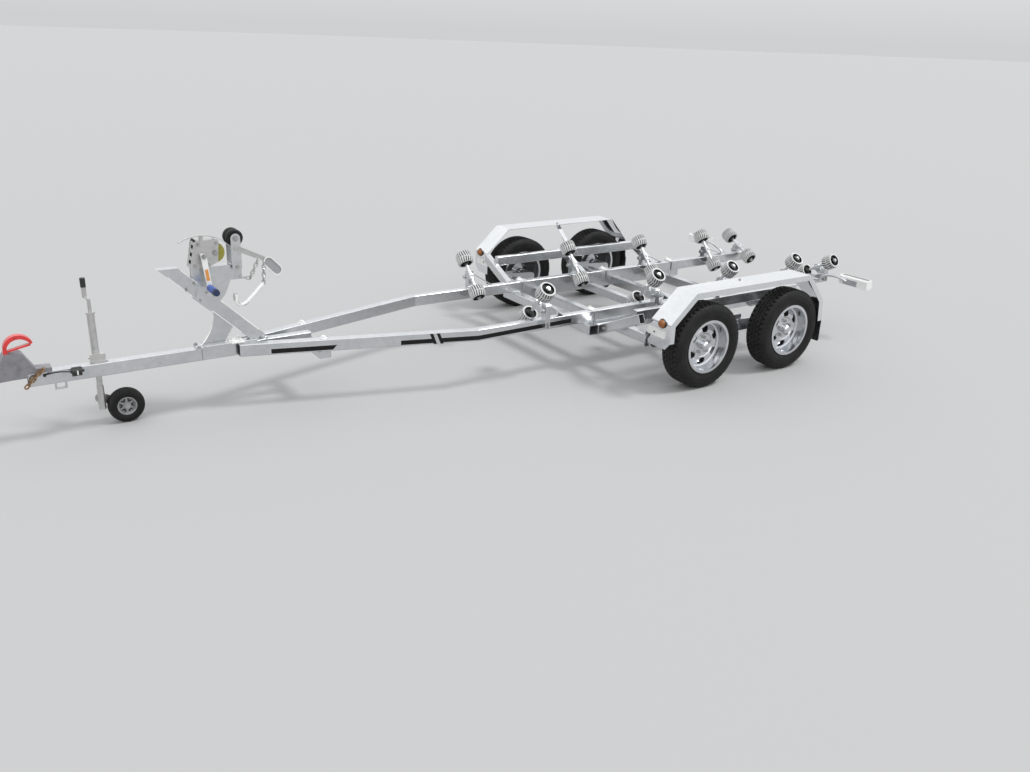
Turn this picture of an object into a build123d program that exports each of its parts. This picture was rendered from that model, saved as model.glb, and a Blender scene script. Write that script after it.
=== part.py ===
from build123d import *
from collections import namedtuple
import math
import os

# Tandem boat trailer, in millimetres. X is zero at the front axle and grows towards the coupler, Y grows
# to the left side, Z is zero on the floor. The last step puts the middle of the whole length at X zero.

# Whole layout
TYRE_R, TYRE_W = 302.0, 178.0
TYRE_GAP = 222.0
AXLE_SPACING = 2 * TYRE_R + TYRE_GAP
TRACK_HALF = 1145.0
DECK_TOP = 425.0
NOSE_X = 4300.0
TAIL_X = -2150.0
AXLE_X = {"front": 0.0, "rear": -AXLE_SPACING}
SIDES = {"left": 1, "right": -1}

# Steel tubes: width, height, wall, outer corner
RAIL_W, RAIL_H = 60.0, 80.0
DRAW_W, DRAW_H = 60.0, 80.0
SUB_W, SUB_H = 80.0, 70.0
CROSS = 60.0
BEAM = 50.0
WALL = 4.0
CORNER = 7.0
PLATE = 6.0

# Rails and drawbar
RAIL_OUT = 491.0
RAIL_MID = RAIL_OUT - RAIL_W / 2
KINK_X = 1406.0
RAIL_FRONT_X = 2880.0
RAIL_FRONT_OUT = 72.0
DECK_BOTTOM = DECK_TOP - RAIL_H
DECK_MID = DECK_TOP - RAIL_H / 2
RAIL_SLOPE = (RAIL_OUT - RAIL_FRONT_OUT) / (RAIL_FRONT_X - KINK_X)
DRAW_REAR_X, DRAW_FRONT_X = 2400.0, 4050.0

# Sub-frame under the rails
SUB_OUT = 550.0
SUB_MID = SUB_OUT - SUB_W / 2
SUB_Z = DECK_BOTTOM - SUB_H / 2
SUB_FRONT_X, SUB_REAR_X = 528.0, -1290.0
FRONT_TUBE_HALF = 565.0
AXLE_BEAM_DX = 265.0

# Pins and running fits
PIN_R = 8.0
PIN_FIT = 0.05

parts = {}


def box(x0, x1, y0, y1, z0, z1):
    middle = Pos((x0 + x1) / 2, (y0 + y1) / 2, (z0 + z1) / 2)
    return middle * Box(abs(x1 - x0), abs(y1 - y0), abs(z1 - z0))


def rod(a, b, radius):
    start, run = Vector(*a), Vector(*b) - Vector(*a)
    return extrude(Plane(origin=start, z_dir=run) * Circle(radius), run.length)


def tube_face(frame, w, h, wall, corner):
    face = frame * (RectangleRounded(w, h, corner) if corner else Rectangle(w, h))
    return face - frame * Rectangle(w - 2 * wall, h - 2 * wall) if wall else face


def bar(a, b, w, h, up=(0, 0, 1), wall=0, corner=0):
    # straight bar or tube from a to b: w lies across, h lies along the up direction
    start, run = Vector(*a), Vector(*b) - Vector(*a)
    frame = Plane(origin=start, x_dir=Vector(*up).cross(run), z_dir=run)
    return extrude(tube_face(frame, w, h, wall, corner), run.length)


def bent_tube(points, w, h, wall):
    # level tube along a run of points, mitred at its bends
    run = Vector(*points[1]) - Vector(*points[0])
    frame = Plane(origin=points[0], x_dir=Vector(0, 0, 1).cross(run), z_dir=run)
    path = Polyline(*points)
    outer = sweep(frame * RectangleRounded(w, h, CORNER), path=path, transition=Transition.RIGHT)
    inner = sweep(frame * Rectangle(w - 2 * wall, h - 2 * wall), path=path, transition=Transition.RIGHT)
    return outer - inner


def side_plate(face, y0, y1):
    # face drawn in X, Z and pushed across from y0 to y1
    return Pos(0, y0, 0) * extrude(Plane.XZ * face, y1 - y0, dir=(0, 1, 0))


def cross_plate(face, x0, x1):
    # face drawn in Y, Z and pushed along from x0 to x1
    return Pos(x0, 0, 0) * extrude(Plane.YZ * face, x1 - x0, dir=(1, 0, 0))


def outline(*points):
    return make_face(Polyline(*points, close=True))


def link_face(a, ra, b, rb):
    # two round ends joined by tangent sides
    circles = [Pos(*a) * Circle(ra), Pos(*b) * Circle(rb)]
    return make_hull([edge for circle in circles for edge in circle.edges()])


def spun(points, x, y, z):
    # ring turned about a cross axis through x, z: points are radius, place across
    ring = revolve(Plane.XY * outline(*points), Axis.Y, 360)
    return Pos(x, y, z) * ring


def mirrored(shape, side):
    return shape if side > 0 else mirror(shape, about=Plane.XZ)


def both_sides(shape):
    return [mirrored(shape, side) for side in SIDES.values()]


def keep(name, *shapes):
    solids = [solid for shape in shapes for solid in shape.solids()]
    parts[name] = solids[0] if len(solids) == 1 else Compound(children=solids)


# Rails: straight behind the kink, then drawn in to the drawbar and trimmed along its sides
def rail():
    past = RAIL_FRONT_X + 80
    run = [(TAIL_X, RAIL_MID, DECK_MID), (KINK_X, RAIL_MID, DECK_MID)]
    run.append((past, RAIL_MID - RAIL_SLOPE * (past - KINK_X), DECK_MID))
    tube = bent_tube(run, RAIL_W, RAIL_H, WALL)
    tube -= box(RAIL_FRONT_X, past + 200, -600, 600, 0, 600)
    return tube - box(KINK_X, past + 200, -200, DRAW_W / 2, 0, 600)


# Drawbar, open in front below the coupler, with a round bar loop under it
LOOP_X, LOOP_DROP, LOOP_R = (3861.0, 3915.0), 40.0, 6.0


def drawbar():
    ends = (DRAW_REAR_X, 0, DECK_MID), (DRAW_FRONT_X, 0, DECK_MID)
    tube = bar(*ends, DRAW_W, DRAW_H, wall=WALL, corner=CORNER)
    low = DECK_BOTTOM - LOOP_DROP
    for x in LOOP_X:
        tube += rod((x, 0, low), (x, 0, DECK_BOTTOM + 1), LOOP_R)
    return tube + rod((LOOP_X[0] - LOOP_R, 0, low), (LOOP_X[1] + LOOP_R, 0, low), LOOP_R)


# Sub-frame: a wide front tube with open ends, two long tubes behind it and cross tubes between them
CrossTube = namedtuple("CrossTube", "name x height")
CROSS_TUBES = [
    CrossTube("front axle", AXLE_BEAM_DX, SUB_H),
    CrossTube("middle", -240.0, CROSS),
    CrossTube("rear axle", AXLE_BEAM_DX - AXLE_SPACING, SUB_H),
    CrossTube("rear", -1030.0, SUB_H),
]


def sub_frame():
    mid_x, join_x = SUB_FRONT_X - SUB_W / 2, SUB_FRONT_X - SUB_W
    front = (mid_x, -FRONT_TUBE_HALF, SUB_Z), (mid_x, FRONT_TUBE_HALF, SUB_Z)
    inner_w, inner_h = SUB_W - 2 * WALL, SUB_H - 2 * WALL
    frame = bar(*front, SUB_W, SUB_H, corner=CORNER)
    channels = [bar(*front, inner_w, inner_h)]
    for y in (SUB_MID, -SUB_MID):
        rear = (SUB_REAR_X, y, SUB_Z)
        frame += bar(rear, (mid_x, y, SUB_Z), SUB_W, SUB_H, corner=CORNER)
        channels.append(bar(rear, (join_x, y, SUB_Z), inner_w, inner_h))
    frame -= channels
    inside = SUB_OUT - SUB_W
    for tube in CROSS_TUBES:
        ends = (tube.x, -inside, SUB_Z), (tube.x, inside, SUB_Z)
        frame += bar(*ends, CROSS, tube.height, wall=WALL)
    return frame


# Tie tube under the drawbar's rear end and both rails
TIE_W, TIE_H, TIE_HALF = 80.0, 48.0, 205.0
TIE_X = DRAW_REAR_X - TIE_W / 2 + 20


def tie_tube():
    z = DECK_BOTTOM - TIE_H / 2
    return bar((TIE_X, -TIE_HALF, z), (TIE_X, TIE_HALF, z), TIE_W, TIE_H, wall=WALL, corner=CORNER)


# Side beams carry the guards on arms that rise outwards from the sub-frame, the front pair past the beams
Arm = namedtuple("Arm", "name x height end_y wall")
BEAM_Y, BEAM_TOP, BEAM_H = 880.0, 528.0, 75.0
BEAM_OUT = BEAM_Y + BEAM / 2
BEAM_Z = BEAM_TOP - BEAM_H / 2
ARM_W, ARM_RISE = 50.0, 0.4575
ARM_ROOT_Z = 299.0
ARMS = [
    Arm("front", SUB_FRONT_X - SUB_W - ARM_W / 2, 68.0, 985.0, WALL),
    Arm("middle", -350.0, 60.0, BEAM_OUT, 0),
    Arm("rear", -1150.0, 60.0, BEAM_OUT, 0),
]
BEAM_FRONT_X, BEAM_REAR_X = ARMS[0].x - ARM_W / 2, -1230.0


def side_beam():
    ends = (BEAM_FRONT_X, BEAM_Y, BEAM_Z), (BEAM_REAR_X, BEAM_Y, BEAM_Z)
    beam = bar(*ends, BEAM, BEAM_H, corner=CORNER)
    for piece in ARMS:
        run = [(piece.x, y, ARM_ROOT_Z + ARM_RISE * (y - SUB_OUT)) for y in (SUB_MID, piece.end_y)]
        arm = bar(*run, ARM_W, piece.height, wall=piece.wall, corner=CORNER)
        beam += arm & box(piece.x - ARM_W, piece.x + ARM_W, SUB_OUT, piece.end_y + 50, 0, BEAM_TOP + 60)
    return beam


# Axle units: a square housing beside the sub-frame, its end plate, a trailing arm and a stub axle
STUB_R = 20.0
HOUSING_END_Y = 925.0
TRAIL_Y0, TRAIL_Y1 = 937.0, 967.0
TRAIL_PIVOT_R, TRAIL_HUB_R = 44.0, 36.0


def axle_unit(x):
    px = x + AXLE_BEAM_DX
    unit = bar((px, SUB_OUT, SUB_Z), (px, HOUSING_END_Y, SUB_Z), SUB_H, SUB_H, corner=CORNER)
    unit += rod((px, HOUSING_END_Y - 10, SUB_Z), (px, TRAIL_Y1 + 8, SUB_Z), 28)
    end_plate = Pos(px, SUB_Z + 12) * RectangleRounded(118, 112, 14)
    unit += side_plate(end_plate, HOUSING_END_Y - PLATE, HOUSING_END_Y + 2)
    trail = link_face((px, SUB_Z), TRAIL_PIVOT_R, (x, TYRE_R), TRAIL_HUB_R)
    unit += side_plate(trail, TRAIL_Y0, TRAIL_Y1)
    return unit + rod((x, TRAIL_Y0, TYRE_R), (x, TRACK_HALF + 40, TYRE_R), STUB_R)


# Wheels: tyre, pierced disc in a deep barrel, hub with a domed cap
RIM_R, RIM_T = 190.0, 5.0
BEAD_R = RIM_R - 14.0
BEAD_IN = 14.0
DISC_IN = 92.0
HUB_R, HUB_CAP_R = 34.0, 30.0
WINDOWS = 6
WINDOW_IN, WINDOW_OUT = 92.0, 138.0


def tyre(x):
    half = TYRE_W / 2
    # radius and distance in from the side of the tyre
    wall_line = [(BEAD_R, BEAD_IN), (RIM_R + 3, BEAD_IN), (RIM_R + 34, 3), (RIM_R + 62, 0)]
    wall_line += [(TYRE_R - 20, 9), (TYRE_R, 26)]
    profile = [(r, half - d) for r, d in wall_line] + [(r, d - half) for r, d in reversed(wall_line)]
    return spun(profile, x, TRACK_HALF, TYRE_R)


def window():
    # pierced opening of the disc, narrower towards the hub
    inner, outer = WINDOW_IN, WINDOW_OUT
    face = outline((inner, -20), (outer, -36), (outer + 6, 0), (outer, 36), (inner, 20))
    return fillet(face.vertices(), 9)


def rim(x):
    half = TYRE_W / 2
    flange = half - BEAD_IN
    disc = half - DISC_IN
    face = disc + 22
    profile = [
        (STUB_R + 5, face), (78, face), (88, disc + 30), (112, disc + 30), (150, disc + 6),
        (BEAD_R - 14, disc + 12), (BEAD_R - RIM_T, flange + RIM_T), (RIM_R, flange + RIM_T),
        (RIM_R, flange), (BEAD_R, flange), (BEAD_R, -flange), (RIM_R, -flange), (RIM_R, -flange - RIM_T),
        (BEAD_R - RIM_T, -flange - RIM_T), (BEAD_R - 14, disc - 4), (150, disc - 3), (112, disc + 22),
        (88, disc + 22), (78, face - 8), (STUB_R + 5, face - 8),
    ]
    wheel = spun(profile, x, TRACK_HALF, TYRE_R)
    for i in range(WINDOWS):
        opening = Pos(x, TYRE_R) * Rot(0, 0, 30 + i * 360 / WINDOWS) * window()
        wheel -= side_plate(opening, TRACK_HALF + disc - 20, TRACK_HALF + disc + 60)
    return wheel + hub(x)


def hub(x):
    back, bore_end, nose = TRAIL_Y1 + 8 - TRACK_HALF, 46.0, 68.0
    bore = STUB_R + PIN_FIT
    cap = nose - 14
    profile = [(bore, back), (HUB_R, back), (HUB_R, cap - 10), (HUB_CAP_R, cap - 10), (HUB_CAP_R, cap)]
    profile += [(HUB_CAP_R - 10, nose - 3), (0, nose), (0, bore_end), (bore, bore_end)]
    return spun(profile, x, TRACK_HALF, TYRE_R)


# Guards: one bent sheet over both wheels with a turned-down lip outside, on flat stays from the beam
GUARD_Y0, GUARD_Y1 = 1043.0, 1235.0
GUARD_T, GUARD_LIP, GUARD_BEND = 3.0, 40.0, 24.0
GUARD_OVER, GUARD_AHEAD, GUARD_BEHIND = 101.0, 83.0, 32.0
GUARD_TOP = 2 * TYRE_R + GUARD_OVER
GUARD_FOOT = GUARD_TOP - 370
GUARD_FRONT_X = TYRE_R + GUARD_AHEAD
GUARD_REAR_X = -AXLE_SPACING - TYRE_R - GUARD_BEHIND
GUARD_LINE = [
    (GUARD_FRONT_X, GUARD_FOOT), (GUARD_FRONT_X, GUARD_TOP - 190), (GUARD_FRONT_X - 209, GUARD_TOP),
    (GUARD_REAR_X + 195, GUARD_TOP), (GUARD_REAR_X + 20, GUARD_TOP - 205), (GUARD_REAR_X, GUARD_FOOT - 1),
]
STAY_X = [-370.0]
STAY_W = 40.0


def guard_edge(depth):
    # face under the guard's line, drawn in by depth and run past its two open ends
    count, inset = len(GUARD_LINE), []
    for i, (x, z) in enumerate(GUARD_LINE):
        normals = []
        for a, b in ((i - 1, i), (i, i + 1)):
            if a < 0 or b == count:
                continue
            (ax, az), (bx, bz) = GUARD_LINE[a], GUARD_LINE[b]
            run = math.hypot(bx - ax, bz - az)
            normals.append(((az - bz) / run, (bx - ax) / run))
        nx = sum(n[0] for n in normals) / len(normals)
        nz = sum(n[1] for n in normals) / len(normals)
        share = depth / (nx * nx + nz * nz)
        inset.append((x + nx * share, z + nz * share))
    if depth:
        inset[0] = (inset[0][0], inset[0][1] - 30)
        inset[-1] = (inset[-1][0], inset[-1][1] - 30)
    line = FilletPolyline(*inset, radius=max(GUARD_BEND - depth, 4))
    return make_face(line.edges() + [Line(inset[-1], inset[0])])


def guard():
    whole = guard_edge(0)
    sheet = side_plate(whole, GUARD_Y0, GUARD_Y1)
    sheet -= side_plate(guard_edge(GUARD_T), GUARD_Y0 - 1, GUARD_Y1 + 1)
    lip = side_plate(whole, GUARD_Y1 - GUARD_T, GUARD_Y1)
    lip -= side_plate(guard_edge(GUARD_LIP), GUARD_Y1 - 10, GUARD_Y1 + 1)
    low = GUARD_FOOT - 5
    cut = outline((GUARD_Y1 - 46, low), (GUARD_Y1 + 1, low), (GUARD_Y1 + 1, low + 52))
    sheet = sheet + lip - cross_plate(cut, GUARD_FRONT_X - 55, GUARD_FRONT_X + 15)
    under = GUARD_TOP - GUARD_T
    for x in STAY_X:
        top, foot = (x, GUARD_Y0 + 50, under - 3), (x, BEAM_Y + 14, BEAM_TOP + 4)
        sheet += bar(foot, top, STAY_W, PLATE, up=(0, -0.6, 0.8))
        sheet += box(x - STAY_W / 2, x + STAY_W / 2, GUARD_Y0 + 20, GUARD_Y0 + 80, under - PLATE, under)
        sheet += box(x - STAY_W / 2, x + STAY_W / 2, BEAM_Y - 18, BEAM_Y + 24, BEAM_TOP, BEAM_TOP + PLATE)
    return sheet


# Mudflaps behind the guards, clamped by a strip
FLAP_T = 6.0
FLAP_X, FLAP_BOTTOM = GUARD_REAR_X - FLAP_T / 2, 168.0
FLAP_TOP = GUARD_FOOT + 10


def mudflap():
    y0, y1 = GUARD_Y0 + 5, GUARD_Y1 - 5
    height = FLAP_TOP - FLAP_BOTTOM
    face = Pos((y0 + y1) / 2, FLAP_BOTTOM + height / 2) * RectangleRounded(y1 - y0, height, 12)
    return cross_plate(face, FLAP_X - FLAP_T / 2, FLAP_X + FLAP_T / 2)


# Roller pairs: place along the trailer, height of the pin, tilt of the rod
Pair = namedtuple("Pair", "name x pin_z tilt")
PAIRS = [
    Pair("1", 915.0, 497.0, 48.0),
    Pair("2", -86.0, 485.0, 48.0),
    Pair("3", -862.0, 466.0, 48.0),
    Pair("4", -1610.0, 452.0, 48.0),
    Pair("5", -2028.0, 431.0, 29.0),
]
FULL_TILT = 48.0
PIN_Y = RAIL_OUT + 24
PAIR_REACH = 147.0
ROD_R, ROD_END = 12.0, 56.0
ROD_BACK, ROD_RISE = 73.0, 27.0
LUG_HALF, LUG_R = 10.0, 19.0
ROLLER_R, ROLLER_W = 62.0, 88.0
ROLLER_FIT = 0.08
STAND_W, STAND_D = 40.0, 50.0
STAND_GAP = 2.0
STAND_OVER = 46.0
PIN_HEAD_R, PIN_HEAD_T = 14.0, 9.0
BRACE_RUN, BRACE_W = 150.0, 40.0


def in_pair(pair, shape):
    # shapes are made at full tilt with the pin at the origin, then turned and moved to their place
    return Pos(pair.x, PIN_Y, pair.pin_z) * Rot(pair.tilt - FULL_TILT, 0, 0) * shape


def rod_point(along):
    tilt = math.radians(FULL_TILT)
    return (0, along * math.cos(tilt) - ROD_BACK, along * math.sin(tilt) + ROD_RISE)


def rocker(pair):
    reach = PAIR_REACH + ROD_END
    body = rod(rod_point(-reach), rod_point(reach), ROD_R)
    body += rod(rod_point(-34), rod_point(34), ROD_R + 7)
    lug = link_face((-ROD_BACK, ROD_RISE), LUG_R + 5, (0, 0), LUG_R)
    body += cross_plate(lug, -LUG_HALF, LUG_HALF)
    return in_pair(pair, body - rod((-60, 0, 0), (60, 0, 0), PIN_R + PIN_FIT))


def roller(along):
    half, bore = ROLLER_W / 2, ROD_R + ROLLER_FIT
    # radius and distance in from the end face
    end_line = [(bore, 0), (23, 0), (23, 15), (46, 15), (46, 0), (57, 0), (ROLLER_R, 18)]
    profile = [(r, half - d) for r, d in end_line] + [(r, d - half) for r, d in reversed(end_line)]
    return Pos(*rod_point(along)) * Rot(FULL_TILT, 0, 0) * revolve(outline(*profile), Axis.Y, 360)


def rollers(pair):
    return [in_pair(pair, roller(side * PAIR_REACH)) for side in (1, -1)]


def stand(pair):
    # post bolted to the rail's side, its pin running forward through the lug, braced back to the rail
    front = pair.x - LUG_HALF - STAND_GAP
    back = front - STAND_W
    top = pair.pin_z + STAND_OVER
    y0, y1, foot = RAIL_OUT, RAIL_OUT + STAND_D, DECK_BOTTOM + 30
    face = outline((y0, foot), (y1, foot), (y1, top - 10), (y1 - 10, top), (y0, top))
    post = cross_plate(face, back, front)
    pin_end = pair.x + LUG_HALF + STAND_GAP
    post += rod((front - 5, PIN_Y, pair.pin_z), (pin_end + 2, PIN_Y, pair.pin_z), PIN_R)
    post += rod((pin_end, PIN_Y, pair.pin_z), (pin_end + PIN_HEAD_T, PIN_Y, pair.pin_z), PIN_HEAD_R)
    if back - BRACE_RUN > TAIL_X:
        high, low = (back + 12, PIN_Y - 4, top - 14), (back - BRACE_RUN, RAIL_MID, DECK_TOP)
        brace = bar(low, high, BRACE_W, PLATE) - box(back + 4, back + 60, 400, 600, 300, 700)
        post += brace - box(back - 300, back, 400, 600, 300, DECK_TOP)
    return post


# Winch post: leaning tube with a closed top, a gusset plate before it and a foot flange on the drawbar
LEAN = math.radians(44.0)
POST_W, POST_H = 60.0, 80.0
POST_X, POST_TOP_Z = 3250.0, 930.0
FLANGE_T = 8.0
FLANGE_X0, FLANGE_X1 = 2700.0, 3130.0
GUSSET_FRONT, GUSSET_REAR, GUSSET_T = 3094.0, 2945.0, 8.0
FOOT_Z = DECK_TOP + FLANGE_T


def post_point(along, over=0.0):
    # point from the middle of the post's top: along goes down the post, over goes out of its upper side
    x = POST_X - along * math.cos(LEAN) - over * math.sin(LEAN)
    return (x, 0, POST_TOP_Z - along * math.sin(LEAN) + over * math.cos(LEAN))


def leaning(w, h, wall, low, high, over=0.0):
    return bar(post_point(low, over), post_point(high, over), w, h, up=(-1, 0, 1), wall=wall)


def winch_post():
    length = (POST_TOP_Z - FOOT_Z) / math.sin(LEAN)
    whole = box(2000, 4000, -100, 100, FOOT_Z, POST_TOP_Z)
    post = leaning(POST_W, POST_H, WALL, length + 80, -80) & whole
    top = box(2000, 4000, -100, 100, POST_TOP_Z - WALL, POST_TOP_Z)
    cap = leaning(POST_W, POST_H, 0, length + 80, -80) & top
    foot, high, rear = (GUSSET_FRONT, FOOT_Z), (3006, 640), (2890, 529)
    edge = [ThreePointArc(foot, (3036, 510), high), Line(high, rear), Line(rear, (GUSSET_REAR, FOOT_Z))]
    gusset = make_face(edge + [Line((GUSSET_REAR, FOOT_Z), foot)])
    post += side_plate(gusset, -GUSSET_T / 2, GUSSET_T / 2) - leaning(POST_W, POST_H, 0, length + 80, -80)
    return post + cap + box(FLANGE_X0, FLANGE_X1, -46, 46, DECK_TOP, FOOT_Z)


# Winch arm: level tube whose two cheeks clamp the post, with a saddle plate between
HEAD_TOP, HEAD_H, HEAD_W = 920.0, 92.0, 60.0
HEAD_REAR_X, HEAD_FRONT_X = 2822.0, 3112.0
SADDLE_T, CHEEK_T = 8.0, 5.0


def winch_arm():
    over = POST_H / 2 + SADDLE_T / 2
    saddle = leaning(HEAD_W + 20, SADDLE_T, 0, 330, 180, over)
    z, low = HEAD_TOP - HEAD_H / 2, HEAD_TOP - HEAD_H
    tube = bar((HEAD_REAR_X, 0, z), (HEAD_FRONT_X, 0, z), HEAD_W, HEAD_H, wall=WALL)
    cheek = outline(
        (2893, low + 2), (3080, low + 2), (3114, 738), (3106, 722), (3028, 650), (3014, 654), (2930, 745)
    )
    y = POST_W / 2
    tube += side_plate(cheek, y - PLATE, y + CHEEK_T) + side_plate(cheek, -y - CHEEK_T, PLATE - y)
    return (tube + saddle) - leaning(POST_W, POST_H, 0, 900, -400)


# Winch: two rounded side plates on a base, a strap drum and a geared crank shaft
WINCH_Y = 50.0
WINCH_X0, WINCH_X1, WINCH_TOP = 2950.0, 3121.0, 1084.0
DRUM_X, DRUM_Z, STRAP_R, DRUM_SHAFT_R = 2976.0, 1004.0, 60.0, 10.0
CRANK_X, CRANK_Z, CRANK_R = 3056.0, 999.0, 9.0
CRANK_END_X, CRANK_END_Z = 3035.0, 809.0
SHAFT_FIT = 0.08
FACE_LEAN = 33.0
FACE_SLOTS, SLOT_HALF = (34.0, 78.0, 122.0), 22.0
STRIP_T = 4.0


def winch_frame():
    y, top_x = WINCH_Y, WINCH_X1 - FACE_LEAN
    cheek = outline(
        (WINCH_X1, HEAD_TOP), (top_x, WINCH_TOP), (WINCH_X0, WINCH_TOP),
        (2962, 950), (3004, 932), (3004, HEAD_TOP),
    )
    cheek = fillet(cheek.vertices().sort_by(Axis.Y)[-2:], 14)
    frame = side_plate(cheek, y - PLATE, y) + side_plate(cheek, -y, PLATE - y)
    frame += box(3004, WINCH_X1, -y, y, HEAD_TOP, HEAD_TOP + 5)
    face = outline(
        (WINCH_X1 - 4, HEAD_TOP), (WINCH_X1, HEAD_TOP),
        (top_x, WINCH_TOP - 14), (top_x - 4, WINCH_TOP - 14),
    )
    front = side_plate(face, -y, y)
    for rise in FACE_SLOTS:
        level = HEAD_TOP + rise
        front -= box(top_x - 20, WINCH_X1 + 5, -SLOT_HALF, SLOT_HALF, level - 11, level + 11)
    frame += front + box(WINCH_X0 + 20, top_x - 12, -y, y, WINCH_TOP - 4, WINCH_TOP)
    front, middle, back = (3177, 1079), (3050, 1112), (2890, 1044)
    over, under = ThreePointArc(front, middle, back), [(x, z - STRIP_T) for x, z in (back, middle, front)]
    strip = make_face([over, Line(back, under[0]), ThreePointArc(*under), Line(under[2], front)])
    frame += side_plate(strip, 8, 40)
    frame += box(3036, 3056, 14, 34, WINCH_TOP - 1, middle[1] - STRIP_T + 1)
    frame -= rod((DRUM_X, -60, DRUM_Z), (DRUM_X, 60, DRUM_Z), DRUM_SHAFT_R + SHAFT_FIT)
    return frame - rod((CRANK_X, -60, CRANK_Z), (CRANK_X, 60, CRANK_Z), CRANK_R + SHAFT_FIT)


def winch_drum():
    shaft = rod((DRUM_X, -WINCH_Y - 6, DRUM_Z), (DRUM_X, WINCH_Y + 6, DRUM_Z), DRUM_SHAFT_R)
    return shaft + rod((DRUM_X, -34, DRUM_Z), (DRUM_X, 34, DRUM_Z), STRAP_R)


def winch_handle():
    y0, y1, grip_end = 84.0, 92.0, 222.0
    shaft = rod((CRANK_X, -WINCH_Y - 6, CRANK_Z), (CRANK_X, y1 + 4, CRANK_Z), CRANK_R)
    arm = link_face((CRANK_X, CRANK_Z), 17, (CRANK_END_X, CRANK_END_Z), 14)
    grip = rod((CRANK_END_X, y1 - 2, CRANK_END_Z), (CRANK_END_X, grip_end, CRANK_END_Z), 19)
    return shaft + side_plate(arm, y0, y1) + grip


# Bow roller between two upright plates with round tops
BOW_X, BOW_Z, BOW_R, BOW_HALF = 2852.0, 1080.0, 51.0, 41.0
BOW_PLATE_R, BOW_PLATE_DROP = 29.0, 26.0
BOW_PLATE_Y = BOW_HALF + 5.0


def bow_roller_bracket():
    foot, half = HEAD_TOP - BOW_PLATE_DROP, BOW_PLATE_R
    plate = Pos(BOW_X, BOW_Z) * Circle(half)
    plate += Pos(BOW_X, (foot + BOW_Z) / 2) * Rectangle(2 * half, BOW_Z - foot)
    y = BOW_PLATE_Y
    bracket = side_plate(plate, y, y + PLATE) + side_plate(plate, -y - PLATE, -y)
    bracket += box(HEAD_REAR_X, BOW_X + half, -y, y, HEAD_TOP, HEAD_TOP + PLATE)
    return bracket + rod((BOW_X, -y - 12, BOW_Z), (BOW_X, y + 12, BOW_Z), PIN_R)


def bow_roller():
    bore, rise = PIN_R + SHAFT_FIT, BOW_R - 8
    # radius and distance in from the end face
    end_line = [(bore, 0), (20, 0), (20, 6), (36, 6), (36, 0), (BOW_R - 5, 0), (BOW_R, 6), (BOW_R, 26)]
    profile = [(r, BOW_HALF - d) for r, d in end_line] + [(rise, 0)]
    profile += [(r, d - BOW_HALF) for r, d in reversed(end_line)]
    return spun(profile, BOW_X, 0, BOW_Z)


# Hook gear behind the bow roller: arm, oval plate, short chain and a long open hook
Link = namedtuple("Link", "length width wire")
CHAIN = Link(38.0, 24.0, 7.0)
HOOK_R = 10.0


def chain(a, b):
    # links along the way from a to b, turned a quarter from one to the next
    start, run = Vector(*a), Vector(*b) - Vector(*a)
    count = max(2, round(run.length / (CHAIN.length - 2 * CHAIN.wire)))
    length, width = CHAIN.length, CHAIN.width
    face = SlotOverall(length, width) - SlotOverall(length - 2 * CHAIN.wire, width - 2 * CHAIN.wire)
    link = extrude(face, CHAIN.wire / 2, both=True)
    line = Plane(origin=start, x_dir=run, z_dir=run.cross(Vector(0, 1, 0)))
    links = None
    for i in range(count):
        placed = line * Pos((i + 0.5) * run.length / count, 0, 0) * Rot(90 * (i % 2), 0, 0) * link
        links = placed if links is None else links + placed
    return links


def bow_hook():
    y0, y1 = BOW_PLATE_Y + PLATE, BOW_PLATE_Y + 2 * PLATE
    y = (y0 + y1) / 2
    arm = side_plate(link_face((BOW_X, 1022), 17, (2684, 940), 13), y0, y1)
    oval = link_face((2662, 922), 34, (2612, 868), 34)
    inner = link_face((2662, 922), 26, (2612, 868), 26)
    gear = arm + side_plate(oval, y - 9, y + 9) - side_plate(inner, y + 5, y + 10)
    gear += chain((2690, y, 930), (2700, y, 784))
    eye = (2832, y, 842)
    gear += (
        chain(eye, (2778, y, 832))
        + chain((2780, y, 832), (2724, y, 944))
        + rod((2832, HEAD_W / 2, 842), (2832, y, 842), 6)
    )
    hook = Polyline((2700, y, 792), (2822, y, 674))
    bend = ThreePointArc((2822, y, 674), (2862, y, 684), (2878, y, 746))
    for path in (hook, bend):
        gear += sweep(Plane(origin=path @ 0, z_dir=path % 0) * Circle(HOOK_R), path=path)
    return gear


# Coupler: flat base on the drawbar, tower for the grip, round head over the ball socket
BALL_X, BALL_Z, BALL_R = 4246.0, 427.0, 25.5
HEAD_R = NOSE_X - BALL_X
HEAD_BOTTOM = 404.0
TOWER_TOP = 552.0
COUPLER_HALF = 38.0


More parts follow.
